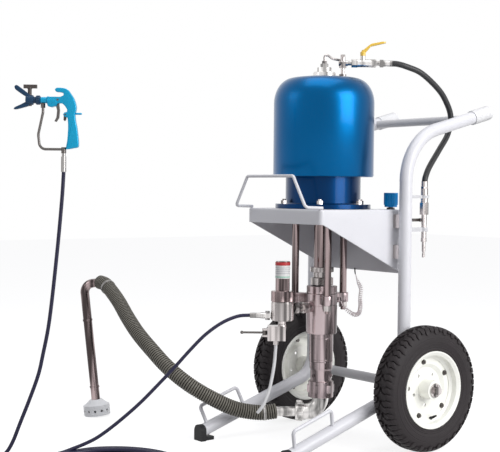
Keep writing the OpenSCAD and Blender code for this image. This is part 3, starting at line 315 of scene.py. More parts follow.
# ---- mesh tools
class Shape:
    """Collects solids, each with its own vertices, into one mesh."""

    def __init__(self, *solids):
        self.verts, self.faces = [], []
        for solid in solids:
            self.add(*solid)

    def add(self, verts, faces):
        start = len(self.verts)
        self.verts += [tuple(v) for v in verts]
        self.faces += [[start + i for i in face] for face in faces]

    def piece(self, name, material, body, sharp=32.0):
        """The mesh as an object that rides on a body, smooth except at edges sharper than the angle."""
        mesh = bpy.data.meshes.new(name)
        mesh.from_pydata(self.verts, [], self.faces)
        work = bmesh.new()
        work.from_mesh(mesh)
        bmesh.ops.recalc_face_normals(work, faces=work.faces)
        limit = radians(sharp)
        for face in work.faces:
            face.smooth = True
        for edge in work.edges:
            if len(edge.link_faces) == 2 and edge.calc_face_angle(0) > limit:
                edge.smooth = False
        work.to_mesh(mesh)
        work.free()
        mesh.materials.append(material)
        piece = link(name, mesh)
        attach(piece, body)
        return piece


def strips(n, loops, around=False):
    """Faces that join rings of n points in turn, and the last ring to the first if they go all round."""
    return [[k * n + i, k * n + (i + 1) % n, (k + 1) % loops * n + (i + 1) % n, (k + 1) % loops * n + i]
            for k in range(loops if around else loops - 1) for i in range(n)]


def capped(n, loops):
    """The same, closed flat at both ends."""
    return strips(n, loops) + [list(reversed(range(n))), [(loops - 1) * n + i for i in range(n)]]


def stack(shape, rings, around=False):
    """A solid from rings of equally many points, closed flat at both ends or joined all round."""
    n, loops = len(rings[0]), len(rings)
    shape.add([v for ring in rings for v in ring], strips(n, loops, True) if around else capped(n, loops))


def frame_of(direction, hint=None):
    """Two directions square to one another and to the given one."""
    axis = Vector(direction).normalized()
    hint = Vector(hint) if hint else (UP if abs(axis.z) < 0.9 else Vector((1, 0, 0)))
    across = (hint - axis * hint.dot(axis)).normalized()
    return across, axis.cross(across), axis


def rounded(profile, radius, steps=3):
    """The same line with its inner corners rounded to at most the given radius."""
    out = [profile[0]]
    for before, here, after in zip(profile, profile[1:], profile[2:]):
        a, p, b = Vector(before), Vector(here), Vector(after)
        to_a, to_b = a - p, b - p
        if to_a.length < 1e-9 or to_b.length < 1e-9:
            continue
        angle = to_a.angle(to_b)
        if angle > radians(176) or angle < radians(4):
            out.append(here)
            continue
        cut = min(radius / tan(angle / 2), 0.42 * to_a.length, 0.42 * to_b.length)
        way_a, way_b = to_a.normalized(), to_b.normalized()
        start, end = p + way_a * cut, p + way_b * cut
        curve = [start * (1 - t) ** 2 + p * 2 * t * (1 - t) + end * t ** 2
                 for t in (i / steps for i in range(steps + 1))]
        hold = 0.08 * cut
        out += [(q.x, q.y) for q in (start + way_a * hold, *curve, end + way_b * hold)]
    out.append(profile[-1])
    return out


def spoke(across, other, angle):
    """The direction at an angle round an axis, from two directions square to it."""
    return across * cos(angle) + other * sin(angle)


def lathe(profile, at, direction, segments):
    """Vertices and faces of a profile of (radius, height) pairs turned about an axis."""
    across, other, axis = frame_of(direction)
    at = Vector(at)
    verts, faces, rings = [], [], []
    for radius, height in profile:
        count = segments if radius else 1
        rings.append(range(len(verts), len(verts) + count))
        verts += [at + axis * height + spoke(across, other, TURN * i / segments) * radius
                  for i in range(count)]
    for low, high in zip(rings, rings[1:]):
        for i in range(segments):
            j = (i + 1) % segments
            face = [low[i % len(low)], low[j % len(low)], high[j % len(high)], high[i % len(high)]]
            face = list(dict.fromkeys(face))
            if len(face) > 2:
                faces.append(face)
    if len(rings[0]) > 1 and tuple(profile[0]) != tuple(profile[-1]):
        faces.append(list(reversed(rings[0])))
        faces.append(list(rings[-1]))
    return verts, faces


def closed_lathe(profile, at, direction, segments):
    """As lathe, for a profile that comes back to its first point, such as a ring or a shell."""
    return lathe(profile + [profile[0]], at, direction, segments)


def hexagon(across_flats, height, at, direction, hint, chamfer):
    """A nut or hexagon collar with its corners chamfered at both ends."""
    r, inner, n = across_flats / sqrt(3), across_flats / 2 * 0.97, 12
    side, other, axis = frame_of(direction, hint)
    at, verts = Vector(at), []
    for radius, h, six in ((inner, 0, 0), (r, chamfer, 1), (r, height - chamfer, 1), (inner, height, 0)):
        for i in range(n):
            a = TURN * i / n
            reach = radius * cos(pi / 6) if six and i % 2 else radius
            verts.append(at + axis * h + spoke(side, other, a) * reach)
    return verts, capped(n, 4)


def spline(points, steps):
    """The same smooth line through the points as the construction model draws."""
    points = [Vector(p) for p in points]
    out = []
    for i in range(len(points) - 1):
        a, b = points[max(i - 1, 0)], points[i]
        c, d = points[i + 1], points[min(i + 2, len(points) - 1)]
        for j in range(steps):
            t = j / steps
            bend, twist = 2 * a - 5 * b + 4 * c - d, 3 * b - a - 3 * c + d
            out.append(0.5 * (2 * b + (c - a) * t + bend * t * t + twist * t ** 3))
    out.append(points[-1])
    return out


def evenly(points, gap):
    """Points at even distances along a line, and its length."""
    lengths = [0.0]
    for a, b in zip(points, points[1:]):
        lengths.append(lengths[-1] + (b - a).length)
    total = lengths[-1]
    count = max(2, round(total / gap))
    out, k = [], 0
    for i in range(count + 1):
        want = total * i / count
        while k < len(lengths) - 2 and lengths[k + 1] < want:
            k += 1
        t = (want - lengths[k]) / max(lengths[k + 1] - lengths[k], 1e-12)
        out.append(points[k].lerp(points[k + 1], min(max(t, 0), 1)))
    return out, total


def carried_frames(path):
    """Two directions square to the path at each point, carried along it without twist."""
    last = len(path) - 1
    tangents = [(path[min(i + 1, last)] - path[max(i - 1, 0)]).normalized() for i in range(last + 1)]
    across, _, _ = frame_of(tangents[0])
    out = []
    for t in tangents:
        across = (across - t * across.dot(t)).normalized()
        out.append((across, t.cross(across), t))
    return out


def tube(path, radius, sides):
    """A tube along a path. radius is a number or a function of the point's index."""
    verts = []
    for i, (p, (a, b, _)) in enumerate(zip(path, carried_frames(path))):
        r = radius(i) if callable(radius) else radius
        for k in range(sides):
            turn = TURN * k / sides
            verts.append(p + spoke(a, b, turn) * r)
    return verts, capped(sides, len(path))


def mm(points):
    return [tuple(c * MM for c in p) for p in points]


# ---- hoses and leads
PRESSURE_ROUTE = mm([
    (-64, -429, 430), (-84, -463, 427), (-103, -512, 407), (-122, -564, 370), (-137, -613, 322),
    (-152, -663, 268), (-169, -715, 214), (-187, -773, 157), (-209, -839, 101), (-229, -893, 61),
    (-243, -930, 42), (-256, -968, 28), (-262, -1000, 19),
])
RISER_ROUTE = mm([
    (-266, -962, 7), (-266, -1010, 7), (-258, -1075, 7), (-239, -1140, 7), (-214, -1205, 7),
    (-194, -1265, 7), (-187, -1320, 7), (-208, -1374, 7), (-260, -1400, 7), (-316, -1383, 7),
    (-344, -1332, 7), (-334, -1277, 7), (-315, -1248, 8), (-294, -1215, 16), (-276, -1187, 38),
    (-265, -1169, 72), (-253, -1151, 128), (-237, -1126, 205), (-225, -1105, 275), (-218, -1094, 334),
    (-209, -1077, 440), (-202, -1057, 636), (-198, -1043, 801), (-197, -1038, 886),
])
SUCTION_ROUTE = mm([
    (-90, -294, 97), (-119, -344, 93), (-156, -416, 108), (-195, -484, 144), (-250, -542, 189),
    (-320, -577, 238), (-390, -594, 287), (-473, -601, 338), (-550, -597, 386), (-629, -587, 435),
    (-706, -579, 474), (-741, -578, 489), (-774, -580, 494),
])
AIR_ROUTE = mm([
    (136, 2, 1262), (147, 17, 1261), (162, 45, 1253), (178, 98, 1234), (186, 165, 1190), (187, 206, 1150),
    (185, 236, 1096), (188, 220, 1035), (200, 165, 978), (215, 104, 920), (224, 77, 886), (226, 72, 872),
])
DRAIN_ROUTE = mm([
    (-12, -361, 334), (-12, -362, 318), (-13, -366, 270), (-17, -377, 205), (-24, -389, 160),
    (-31, -400, 132), (-42, -411, 112),
])
EARTH_ROUTE = mm([
    (-37, 6, 572), (-34, 6, 552), (-16, 3, 526), (2, 0, 502), (10, -10, 472), (26, -24, 444),
    (42, -46, 424), (46, -72, 422), (38, -95, 437), (27, -108, 458), (21.8, -113, 480),
])
PRESSURE_D, AIR_D, SUCTION_D, DRAIN_D = 0.012, 0.020, 0.050, 0.011
HOSE_SLIP = 0.0002
SPOOL_AT = Vector((-0.049, -0.962, 0))
SPOOL_SLOTS = [(217, 18), (205, 18), (193, 18), (193, 6), (205, 6), (217, 6)]
SPOOL_START = radians(190.1)


def ease(t):
    t = min(max(t, 0.0), 1.0)
    return t * t * (3 - 2 * t)


def coil_path():
    """Six turns in two layers, inward on top and outward on the floor."""
    out = []
    per_turn, shift = 72, 0.09
    for i in range(1, len(SPOOL_SLOTS) * per_turn - 1):
        turns = i / per_turn
        k = min(int(turns), len(SPOOL_SLOTS) - 1)
        part = turns - k
        radius, height = SPOOL_SLOTS[k]
        if k + 1 < len(SPOOL_SLOTS):
            radius += (SPOOL_SLOTS[k + 1][0] - radius) * ease((part - 1 + shift) / shift)
        if k and SPOOL_SLOTS[k - 1][1] != height:
            height += (SPOOL_SLOTS[k - 1][1] - height) * (1 - ease(part / shift))
        a = SPOOL_START + TURN * turns
        out.append(SPOOL_AT + Vector((cos(a) * radius, sin(a) * radius, height)) * MM)
    return out


def add_hose(name, path, radius, sides, material, sharp=32.0):
    return Shape(tube(path, radius, sides)).piece(name, material, "cart", sharp)


def add_pressure_hose():
    """Run, coil and riser in one length."""
    path, length = evenly(spline(PRESSURE_ROUTE, 6) + coil_path() + spline(RISER_ROUTE, 6), 0.011)
    piece = add_hose("pressure_hose", path, PRESSURE_D / 2 - HOSE_SLIP, 14, NAVY)
    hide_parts("pressure_hose_run", "pressure_hose_coil", "pressure_hose_riser")


RIB_PITCH, RIB_RISE, SUCTION_SIDES = 0.0080, (-0.0022, 0.0, 0.0007, 0.0007, 0.0), 30


def add_suction_hose():
    """A ribbed hose: every pitch has a rounded rib, and its groove is coloured near black as painted shade.
    """
    steps = len(RIB_RISE)
    path, length = evenly(spline(SUCTION_ROUTE, 10), RIB_PITCH / steps)
    piece = add_hose("ribbed_suction_hose", path, lambda i: SUCTION_D / 2 + RIB_RISE[i % steps],
                     SUCTION_SIDES, RIBBED, 80)
    # The groove faces take the painted shade colour.
    piece.data.materials.append(GROOVE_SHADE)
    for face in piece.data.polygons[: (len(path) - 1) * SUCTION_SIDES]:
        if (face.index // SUCTION_SIDES) % steps in (0, steps - 1):
            face.material_index = 1
    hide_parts("suction_hose")


def add_air_hose():
    path, length = evenly(spline(AIR_ROUTE, 10), 0.006)
    piece = add_hose("air_supply_hose", path, AIR_D / 2 - HOSE_SLIP, 20, HOSE_BLACK)
    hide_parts("air_hose")


def add_drain_hose():
    path, length = evenly(spline(DRAIN_ROUTE, 10), 0.005)
    piece = add_hose("drain_hose", path, DRAIN_D / 2 - HOSE_SLIP, 16, CLEAR)
    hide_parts("drain_tube")


WIRE_D, WIRE_STEP = 0.0030, 0.0006
CURL_R, CURL_PITCH, CURL_ENDS = 0.0062, 0.0072, 0.050


def add_earth_lead():
    """A curly lead: its wire winds round the route, and runs out straight at both ends."""
    core, _ = evenly(spline(EARTH_ROUTE, 12), WIRE_STEP)
    helix = []
    for i, (p, (a, b, _)) in enumerate(zip(core, carried_frames(core))):
        along, left = i * WIRE_STEP, (len(core) - 1 - i) * WIRE_STEP
        r = CURL_R * ease(along / CURL_ENDS - 0.4) * ease(left / CURL_ENDS - 0.1)
        turn = TURN * along / CURL_PITCH
        helix.append(p + spoke(a, b, turn) * r)
    path, length = evenly(helix, 0.0014)
    piece = add_hose("curly_earth_lead", path, WIRE_D / 2, 7, CURL)
    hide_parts("earth_lead")
    sleeve = Shape(*(tube(end, WIRE_D / 2 + 0.0007, 10) for end in (path[:16], path[-10:])))
    sleeve.piece("earth_lead_sleeves", BLACK, "cart")


# ---- wheels
WHEEL_X, WHEEL_Z, TYRE_R = 0.310, 0.203, 0.203
TREAD_DEPTH, TREAD_BLOCKS = 0.006, 60
RIM_BOLTS, BOLT_CIRCLE, BOLT_HEX = 5, 0.0905, 0.0125
VALVE_CIRCLE, VALVE_DEGREES = 0.0985, -80


def wheel_frame(side):
    """A wheel's centre and the direction of its outer face."""
    out = 1 if side == "right" else -1
    return Vector((out * WHEEL_X, 0, WHEEL_Z)), Vector((out, 0, 0))


BLOCK_REACH, BLOCK_WIDE, BLOCK_FLARE, BLOCK_LEAN, BLOCK_KINK = 0.0414, 0.0150, 0.0030, 0.020, 0.006
BLOCK_LEVELS = ((0.0070, 1.12), (0.0010, 1.0), (0.0, 0.86))
FLANK_FROM, FLANK_RUN, NOSE_SHARE = 0.020, 0.018, 0.6


def add_tread_block(shape, at, s, start, rows):
    """One chevron block: it leans back towards the shoulder, and its faces slope to the groove round it."""
    verts, faces = [], []
    for i, (r, x) in enumerate(rows):
        t = x / BLOCK_REACH
        wide = BLOCK_WIDE + BLOCK_FLARE * t
        lean = BLOCK_LEAN * t ** 0.7 + (BLOCK_KINK if 0.25 < t < 0.6 else 0.0)
        nose = NOSE_SHARE if i in (0, len(rows) - 1) else 1.0
        flank = ease((x - FLANK_FROM) / FLANK_RUN)
        for depth, share in BLOCK_LEVELS:
            radius = r - depth * (1 - 0.75 * flank)
            across = x - depth * 0.9 * flank
            for e in (-1, 1):
                a = start + (lean + e * wide * share * nose / 2) / r
                verts.append((at[0] + s * across, cos(a) * radius, at[2] + sin(a) * radius))
    order = [0, 2, 4, 5, 3, 1]
    for i in range(len(rows) - 1):
        for a, b in zip(order, order[1:] + order[:1]):
            faces.append([i * 6 + a, i * 6 + b, (i + 1) * 6 + b, (i + 1) * 6 + a])
    faces += [order, [(len(rows) - 1) * 6 + q for q in reversed(order)]]
    shape.add(verts, faces)


def add_tyre(side):
    """A pneumatic tyre: a casing with moulded sidewall rings, and chevron blocks over its shoulders."""
    shape = Shape()
    at, face = wheel_frame(side)
    ground = TYRE_R - TREAD_DEPTH
    wall = [(0.1035, 0.0085), (0.113, 0.017), (0.1165, 0.030), (0.1262, 0.0375), (0.1315, 0.0400),
            (0.136, 0.0385), (0.1385, 0.0408), (0.1405, 0.0392), (0.1500, 0.0418), (0.1517, 0.0406),
            (0.1535, 0.0420), (0.1650, 0.0418), (0.1668, 0.0402), (0.1688, 0.0408), (0.1800, 0.0382),
            (0.1885, 0.0335), (0.1935, 0.0280), (0.1962, 0.0200), (ground, 0.0095), (ground - 0.001, 0.0055)]
    half = rounded(wall, 0.0035, 3)
    loop = half + [(r, -x) for r, x in reversed(half)]
    shape.add(*closed_lathe(loop, at, face, 144))

    rows = [(0.2028, 0.0012), (0.2030, 0.0110), (0.2024, 0.0195), (0.2004, 0.0275), (0.1960, 0.0340),
            (0.1895, 0.0386), (0.1800, 0.0414)]
    for s in (-1, 1):
        for k in range(TREAD_BLOCKS):
            start = TURN * (k + (0.5 if s > 0 else 0.0)) / TREAD_BLOCKS
            add_tread_block(shape, at, s, start, rows if k % 2 else rows[1:-1])
    piece = shape.piece(f"tyre_tread_{side}", RUBBER, f"wheel_{side}", sharp=38)
    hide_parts(f"tyre_{side}")


def add_rim_bolts(side):
    """Five bolts that clamp the rim's two halves, with nuts behind, and a valve stem between two of them."""
    centre, face = wheel_frame(side)
    bolts = Shape()
    for k in range(RIM_BOLTS):
        a = radians(30) + TURN * k / RIM_BOLTS
        outward = Vector((0, cos(a), sin(a)))
        spot = centre + outward * BOLT_CIRCLE
        washer = [(0, 0), (0.0085, 0), (0.0085, 0.0014), (0, 0.0014)]
        bolts.add(*lathe(washer, spot + face * 0.0088, face, 24))
        bolts.add(*hexagon(BOLT_HEX, 0.0055, spot + face * 0.0100, face, outward, 0.0008))
        bolts.add(*lathe([(0, 0), (0.0034, 0), (0.0034, 0.0030), (0.0028, 0.0036), (0, 0.0036)],
                         spot + face * 0.0152, face, 16))
        bolts.add(*hexagon(BOLT_HEX, 0.0060, spot + face * 0.0042, -face, outward, 0.0008))
    piece = bolts.piece(f"rim_bolts_{side}", DARK, f"wheel_{side}")
    a = radians(VALVE_DEGREES)
    way = Vector((0, cos(a), sin(a)))
    stem = Shape()
    profile = [(0, 0), (0.0060, 0), (0.0045, 0.006), (0.0040, 0.022), (0.0032, 0.024), (0.0032, 0.030),
               (0, 0.030)]
    stem.add(*lathe(rounded(profile, 0.0006), centre + way * VALVE_CIRCLE + face * 0.0100,
                    face * 0.85 - way * 0.4, 18))
    piece = stem.piece(f"valve_stem_{side}", BLACK, f"wheel_{side}")


# ---- motor and its bracket
SHELL_Z, SHELL_R, SHELL_H, SHELL_T = 0.884, 0.167, 0.250, 0.004
DOME_H, SHOULDER_RUN = 0.084, 0.063
NECK_R, NECK_SLIP = 0.125, 0.0012


def add_motor_shell():
    """The motor's can: a cylinder with an elliptical shoulder, a nearly flat top and a hole for the neck."""
    r, h, t, run, hole = SHELL_R, SHELL_H, SHELL_T, SHOULDER_RUN, NECK_R + NECK_SLIP
    low, top, flat, rise = h - 0.008, h + DOME_H, SHELL_R - SHOULDER_RUN, DOME_H - 0.006
    outer = [(hole, 0.0), (r - 0.003, 0.0), (r, 0.004), (r, low - 0.012)]
    outer += [(flat + run * cos(a), low + DOME_H * sin(a))
              for a in map(radians, range(0, 87, 3))]
    outer += [(0.096, top - 0.0070), (0.072, top - 0.0034), (0.048, top - 0.0006), (0.030, top), (0.0, top)]
    inner = [(0.0, top - t), (0.048, top - t - 0.001), (flat, low + rise)]
    inner += [(flat + (run - t) * cos(a), low + rise * sin(a))
              for a in map(radians, range(80, -1, -10))]
    inner += [(r - t, 0.008), (hole, 0.008), (hole, 0.0)]
    shape = Shape(lathe(outer + inner, (0, PUMP_Y, SHELL_Z), UP, 128))
    piece = shape.piece("motor_can", MOTOR, "cart", sharp=50)
    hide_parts("motor_shell")


def rounded_rect(half_x, low_y, high_y, radius):
    """A level rectangle with rounded corners, as one ring of points."""
    out, steps = [], 8
    for cx, cy, start in ((half_x - radius, high_y - radius, 0), (-half_x + radius, high_y - radius, 90),
                          (-half_x + radius, low_y + radius, 180), (half_x - radius, low_y + radius, 270)):
        for i in range(steps + 1):
            a = radians(start + 90 * i / steps)
            out.append((cx + radius * cos(a), cy + radius * sin(a)))
    return out


BRACKET_HALF, BRACKET_FRONT, BRACKET_REAR, BRACKET_TOP = 0.188, -0.348, 0.015, 0.778
BRACKET_SHEET, BRACKET_ROLL, BRACKET_CORNER, ROD_HOLE_R = 0.004, 0.006, 0.014, 0.0305
APRON_DEEP, CHEEK_DEEP, APRON_RUN = 0.048, 0.213, 0.012


def add_bracket():
    """The folded plate under the motor, open below, with its sides deeper towards the uprights."""
    top, sheet, roll, corner = BRACKET_TOP, BRACKET_SHEET, BRACKET_ROLL, BRACKET_CORNER

    def plan(inset, radius):
        return rounded_rect(BRACKET_HALF - inset, BRACKET_FRONT + inset, BRACKET_REAR - inset, radius)

    def lower(y):
        t = (y - (BRACKET_FRONT + APRON_RUN)) / (BRACKET_REAR - BRACKET_FRONT - APRON_RUN)
        return top - (APRON_DEEP + (CHEEK_DEEP - APRON_DEEP) * max(0.0, t))

    rings = []
    for i in range(6):
        a = radians(90 * i / 5)
        inset, z = roll * (1 - sin(a)), top - roll * (1 - cos(a))
        rings.append([(x, y, z) for x, y in plan(inset, corner - inset)])
    outline, within = plan(0, corner), plan(sheet, corner - sheet)
    for t in (0.3, 0.65, 1.0):
        rings.append([(x, y, (top - roll) * (1 - t) + (lower(y) + 0.001) * t) for x, y in outline])
    rings.append([(x, y, lower(y)) for x, y in plan(0.001, corner - 0.001)])
    for t in (0.0, 0.35, 0.7, 1.0):
        rings.append([(x, y, lower(y) * (1 - t) + (top - sheet) * t) for x, y in within])
    # The rod's hole closes the loop of rings through the plate.
    ways = [atan2(y - PUMP_Y, x) for x, y in outline]
    for z in (top - sheet, top):
        rings.append([(ROD_HOLE_R * cos(a), PUMP_Y + ROD_HOLE_R * sin(a), z) for a in ways])
    bracket = Shape()
    stack(bracket, rings, True)
    piece = bracket.piece("folded_bracket", WHITE, "cart", 40)
    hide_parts("motor_bracket")


# ---- grips and filter label
GRIP_LEAN, GRIP_LENGTH, GRIP_RIBS, GRIP_PITCH = radians(15), 0.080, 11, 0.0068
GRIP_END = (0.228, 0.371, 1.112)


def add_grips():
    """A ribbed sleeve over each end of the push handle."""
    way = Vector((0, cos(GRIP_LEAN), sin(GRIP_LEAN)))
    x, y, z = GRIP_END
    for s in (-1, 1):
        start = Vector((s * x, y, z)) - way * GRIP_LENGTH
        profile = [(0.0213, 0.0), (0.0246, 0.0)]
        for k in range(GRIP_RIBS):
            h = 0.006 + GRIP_PITCH * k
            profile += [(0.0236, h), (0.0236, h + 0.0016), (0.0248, h + 0.0026), (0.0248, h + 0.0054)]
        profile += [(0.0244, 0.0845), (0.0225, 0.0872), (0.016, 0.0884), (0.0, 0.0886), (0.0, 0.0812),
                    (0.0213, 0.0812)]
        shape = Shape(closed_lathe(rounded(profile, 0.0008, 2), start, way, 48))
        piece = shape.piece(f"ribbed_grip_{'left' if s < 0 else 'right'}", GRIP, "cart")
        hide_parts("handle_grips")


def add_label_band(name, radius, low, high, material):
    """A thin printed ring round the filter's bowl."""
    shape = Shape()
    section = [(radius - 0.001, low), (radius + 0.0004, low), (radius + 0.0004, high), (radius - 0.001, high)]
    shape.add(*closed_lathe(section, FILTER_AXIS, UP, 64))
    shape.piece(name, material, "cart")


BOWL_R, PRINT_RISE, RULE_WIDTH = 0.0235, 0.0002, 0.0015


def add_filter_label():
    """Plain stripes only: a white ground, a red cap, four grey rules and a green foot."""
    add_label_band("label_base", BOWL_R, 0.5520, 0.5995, PAPER)
    add_label_band("label_red_edge", BOWL_R + 0.0007, 0.5945, 0.6050, RED)
    for k in range(4):
        low = 0.5860 - 0.0060 * k
        add_label_band(f"label_rule_{k}", BOWL_R + PRINT_RISE, low, low + RULE_WIDTH, PRINT)
    add_label_band("label_green_edge", BOWL_R + PRINT_RISE, 0.5550, 0.5590, GREEN)


# ---- spray gun
GUN_AT = Vector((-0.199, -1.037, 0.952))


def gun_point(x, y, z):
    return GUN_AT + (REACH * x + SIDE * y) * MM + UP * (z * MM)


OUTLINE_SLOPE = 0.3


def smooth_outline(points):
    """A closed line through the points, rounded as a cast shape is."""
    pts = [Vector((x, y, 0)) for x, y in points]
    out, n, steps = [], len(pts), 3
    for i in range(n):
        a, b, c, d = pts[i - 1], pts[i], pts[(i + 1) % n], pts[(i + 2) % n]
        m0, m1 = (c - a) * OUTLINE_SLOPE, (d - b) * OUTLINE_SLOPE
        for j in range(steps):
            t = j / steps
            h00, h10 = 2 * t ** 3 - 3 * t * t + 1, t ** 3 - 2 * t * t + t
            h01, h11 = -2 * t ** 3 + 3 * t * t, t ** 3 - t * t
            q = b * h00 + m0 * h10 + c * h01 + m1 * h11
            out.append((q.x, q.y))
    return out


def cast_plate(outline, thick, roll, place, shape, layers=4):
    """An upright plate with its edges rolled over, from an outline in the gun's plane."""
    area = sum(a[0] * b[1] - b[0] * a[1] for a, b in zip(outline, outline[1:] + outline[:1]))
    if area < 0:
        outline = outline[::-1]
    n = len(outline)
    normals = []
    for i in range(n):
        a, b = Vector((*outline[i - 1], 0)), Vector((*outline[(i + 1) % n], 0))
        t = (b - a).normalized()
        normals.append((t.y, -t.x))
    rings = []
    for side, order in ((-1, range(layers, -1, -1)), (1, range(layers + 1))):
        for k in order:
            a = radians(90 * k / layers)
            inset = roll * (1 - cos(a))
            depth = side * (thick / 2 - roll * (1 - sin(a)))
            rings.append([(x - nx * inset, depth, y - ny * inset)
                          for (x, y), (nx, ny) in zip(outline, normals)])
    stack(shape, [[place(*v) for v in ring] for ring in rings])


GUN_OUTLINE = [
    (-9, 2), (-28, 5), (-44, 9), (-45, 26), (-43, 45), (-40, 68), (-36, 88), (-34, 106), (-37, 118),
    (-38, 128), (-36, 140), (-30, 156), (-22, 168), (-15, 178), (-6, 184), (8, 186), (20, 186), (26, 181),
    (22, 174), (10, 173), (1, 170), (0, 164), (10, 159), (26, 159), (48, 158), (49, 145), (47, 131),
    (36, 128), (28, 131), (22, 136), (12, 140), (4, 139), (-4, 132), (-11, 121), (-10, 114), (-3, 112),
    (1, 106), (-3, 100), (-12, 96), (-14, 78), (-14, 60), (-12, 30), (-9, 12),
]
GUN_THICK, GUN_ROLL = 25.4, 2.6
GUARD_THICK, GUARD_ROLL, GUARD_TEETH = 15.6, 2.0, 14
UPPER_EAR = [(96, 160), (104, 166), (122, 180), (140, 193), (146, 192), (148, 188), (145, 180), (130, 169),
             (112, 158)]
LOWER_EAR = [(100, 142), (112, 144), (130, 135), (147, 127), (150, 121), (142, 121), (122, 126), (104, 132)]


def add_gun():
    """The cast body with its valve nose, and the ribbed guard that carries the tip between two ears."""
    body = Shape()
    cast_plate(smooth_outline(GUN_OUTLINE), GUN_THICK, GUN_ROLL, gun_point, body)
    for (x, z), profile, edge, segments in (
        ((20, 145), [(0, 0), (0.0145, 0), (0.0150, 0.002), (0.0150, 0.026), (0.0138, 0.028), (0, 0.028)],
         0.001, 40),
        ((46, 149), [(0, 0), (0.0120, 0), (0.0120, 0.004), (0.0095, 0.006), (0.0095, 0.021), (0.0088, 0.024),
                     (0, 0.024)], 0.0006, 40),
        ((-54, 109), [(0, 0), (0.0022, 0), (0.0030, 0.002), (0.0030, 0.022), (0, 0.022)], 0.0005, 24),
    ):
        body.add(*lathe(rounded(profile, edge), gun_point(x, 0, z), REACH, segments))
    piece = body.piece("cast_gun_body", GUN, "gun", 42)
    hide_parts("gun_body")

    guard = Shape()
    at = gun_point(70.2, 0, 149)
    guard.add(*lathe([(0, 0), (0.0108, 0), (0.0128, 0.0015), (0.0130, 0.003), (0.0130, 0.012),
                      (0.0118, 0.014), (0.0100, 0.015), (0.0100, 0.030), (0, 0.030)], at, REACH, 40))
    for k in range(GUARD_TEETH):
        a = TURN * k / GUARD_TEETH
        centre = at + spoke(SIDE, UP, a) * 0.0128
        guard.add(*lathe([(0, 0.002), (0.0013, 0.002), (0.0013, 0.012), (0, 0.012)], centre, REACH, 10))
    ring = [(0.0046, 0), (0.0142, 0), (0.0150, 0.002), (0.0150, 0.019), (0.0132, 0.022), (0.0046, 0.022),
            (0.0046, 0)]
    guard.add(*lathe(rounded(ring, 0.0008), gun_point(92, 0, 149), REACH, 40))
    for ear in (UPPER_EAR, LOWER_EAR):
        cast_plate(smooth_outline(ear), GUARD_THICK, GUARD_ROLL, gun_point, guard, 3)
    piece = guard.piece("spray_guard", GUARD, "gun", 42)
    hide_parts("tip_guard")


# ---- turned and forged pump pieces
def turned(shape, steps, at=PUMP_AXIS, direction=UP, bore=0.0, edge=0.0012, segments=72):
    """A turned piece from (radius, from, to) steps, lowest first, with its edges broken and maybe a bore."""
    line = [(bore, steps[0][1])]
    for r, low, high in steps:
        line += [(r, low), (r, high)]
    line.append((bore, steps[-1][2]))
    if bore:
        line.append((bore, steps[0][1]))
    shape.add(*lathe(rounded(line, edge, 2), at, direction, segments))


def ribbed_disc(shape, radius, low, high, at, teeth, depth):
    """An upright knurled disc; its rim swings in and out with every tooth."""
    across, other = frame_of(UP)[:2]
    edge, per, rings = 0.0012, 6, []
    for inset, cut, h in (
        (edge, 0, low), (0, 0, low + edge), (0, depth, low + 2 * edge), (0, depth, high - 2 * edge),
        (0, 0, high - edge), (edge, 0, high),
    ):
        ring = []
        for i in range(teeth * per):
            a, swing = TURN * i / (teeth * per), 0.5 - 0.5 * cos(TURN * i / per)
            r = radius - inset - cut * swing
            ring.append(at + UP * h + spoke(across, other, a) * r)
        rings.append(ring)
    stack(shape, rings)


def soft_box(shape, at, size, directions, edge):
    """A block with its edges rounded, centred at a point."""
    (sx, sy, sz), (ax, ay, az) = size, directions
    corner = [(qx * sx / 2, qy * sy / 2, qx, qy) for qx, qy in ((1, 1), (-1, 1), (-1, -1), (1, -1))]
    near = edge * 0.3
    rings = []
    for h, inset in ((-sz / 2, edge), (-sz / 2 + near, near), (-sz / 2 + edge, 0), (sz / 2 - edge, 0),
                     (sz / 2 - near, near), (sz / 2, edge)):
        ring = []
        for k, (x, y, qx, qy) in enumerate(corner):
            cx, cy = x - qx * edge, y - qy * edge
            for step in range(4):
                a = radians(90 * k + 90 * step / 3)
                r = max(edge - inset, 0.00005)
                ring.append(at + ax * (cx + r * cos(a)) + ay * (cy + r * sin(a)) + az * h)
        rings.append(ring)
    stack(shape, rings)


NUT_R, NUT_BORE, NUT_LOW, NUT_TOP, NUT_POINTS = 0.051, 0.0202, 0.4951, 0.5210, 144
NOTCHES, NOTCH_PHASE, NOTCH_R, NOTCH_AT = 6, radians(20), 0.007, 0.052


def add_packing_nut():
    """A round nut with six spanner notches in its upper rim."""
    rings = []
    half = pi / NOTCHES
    angles = [TURN * i / NUT_POINTS for i in range(NUT_POINTS)]
    for r, z, notched in ((NUT_R - 0.0012, NUT_LOW, False), (NUT_R, NUT_LOW + 0.0012, False),
                          (NUT_R, 0.5025, False), (NUT_R, 0.5035, True), (NUT_R, NUT_TOP - 0.0015, True),
                          (NUT_R - 0.0015, NUT_TOP, True)):
        ring = []
        for a in angles:
            away = (a - NOTCH_PHASE + half) % (2 * half) - half
            reach, off = r, NOTCH_AT * sin(away)
            if notched and abs(off) < NOTCH_R:
                reach = min(r, NOTCH_AT * cos(away) - sqrt(NOTCH_R ** 2 - off ** 2))
            ring.append(PUMP_AXIS + Vector((cos(a) * reach, sin(a) * reach, z)))
        rings.append(ring)
    for z in (NUT_TOP, NUT_LOW):
        rings.append([PUMP_AXIS + Vector((cos(a) * NUT_BORE, sin(a) * NUT_BORE, z)) for a in angles])
    nut = Shape()
    stack(nut, rings, True)
    piece = nut.piece("slotted_packing_nut", PLATED, "cart")
    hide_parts("packing_nut")


PUMP_BORE = 0.0361
ARM_Z, ARM_THICK, ARM_ROLL, ARM_HALF = 0.4785, 0.0328, 0.0025, 0.0165
ARM_EYE_AT, ARM_EYE_R = 0.095, 0.018


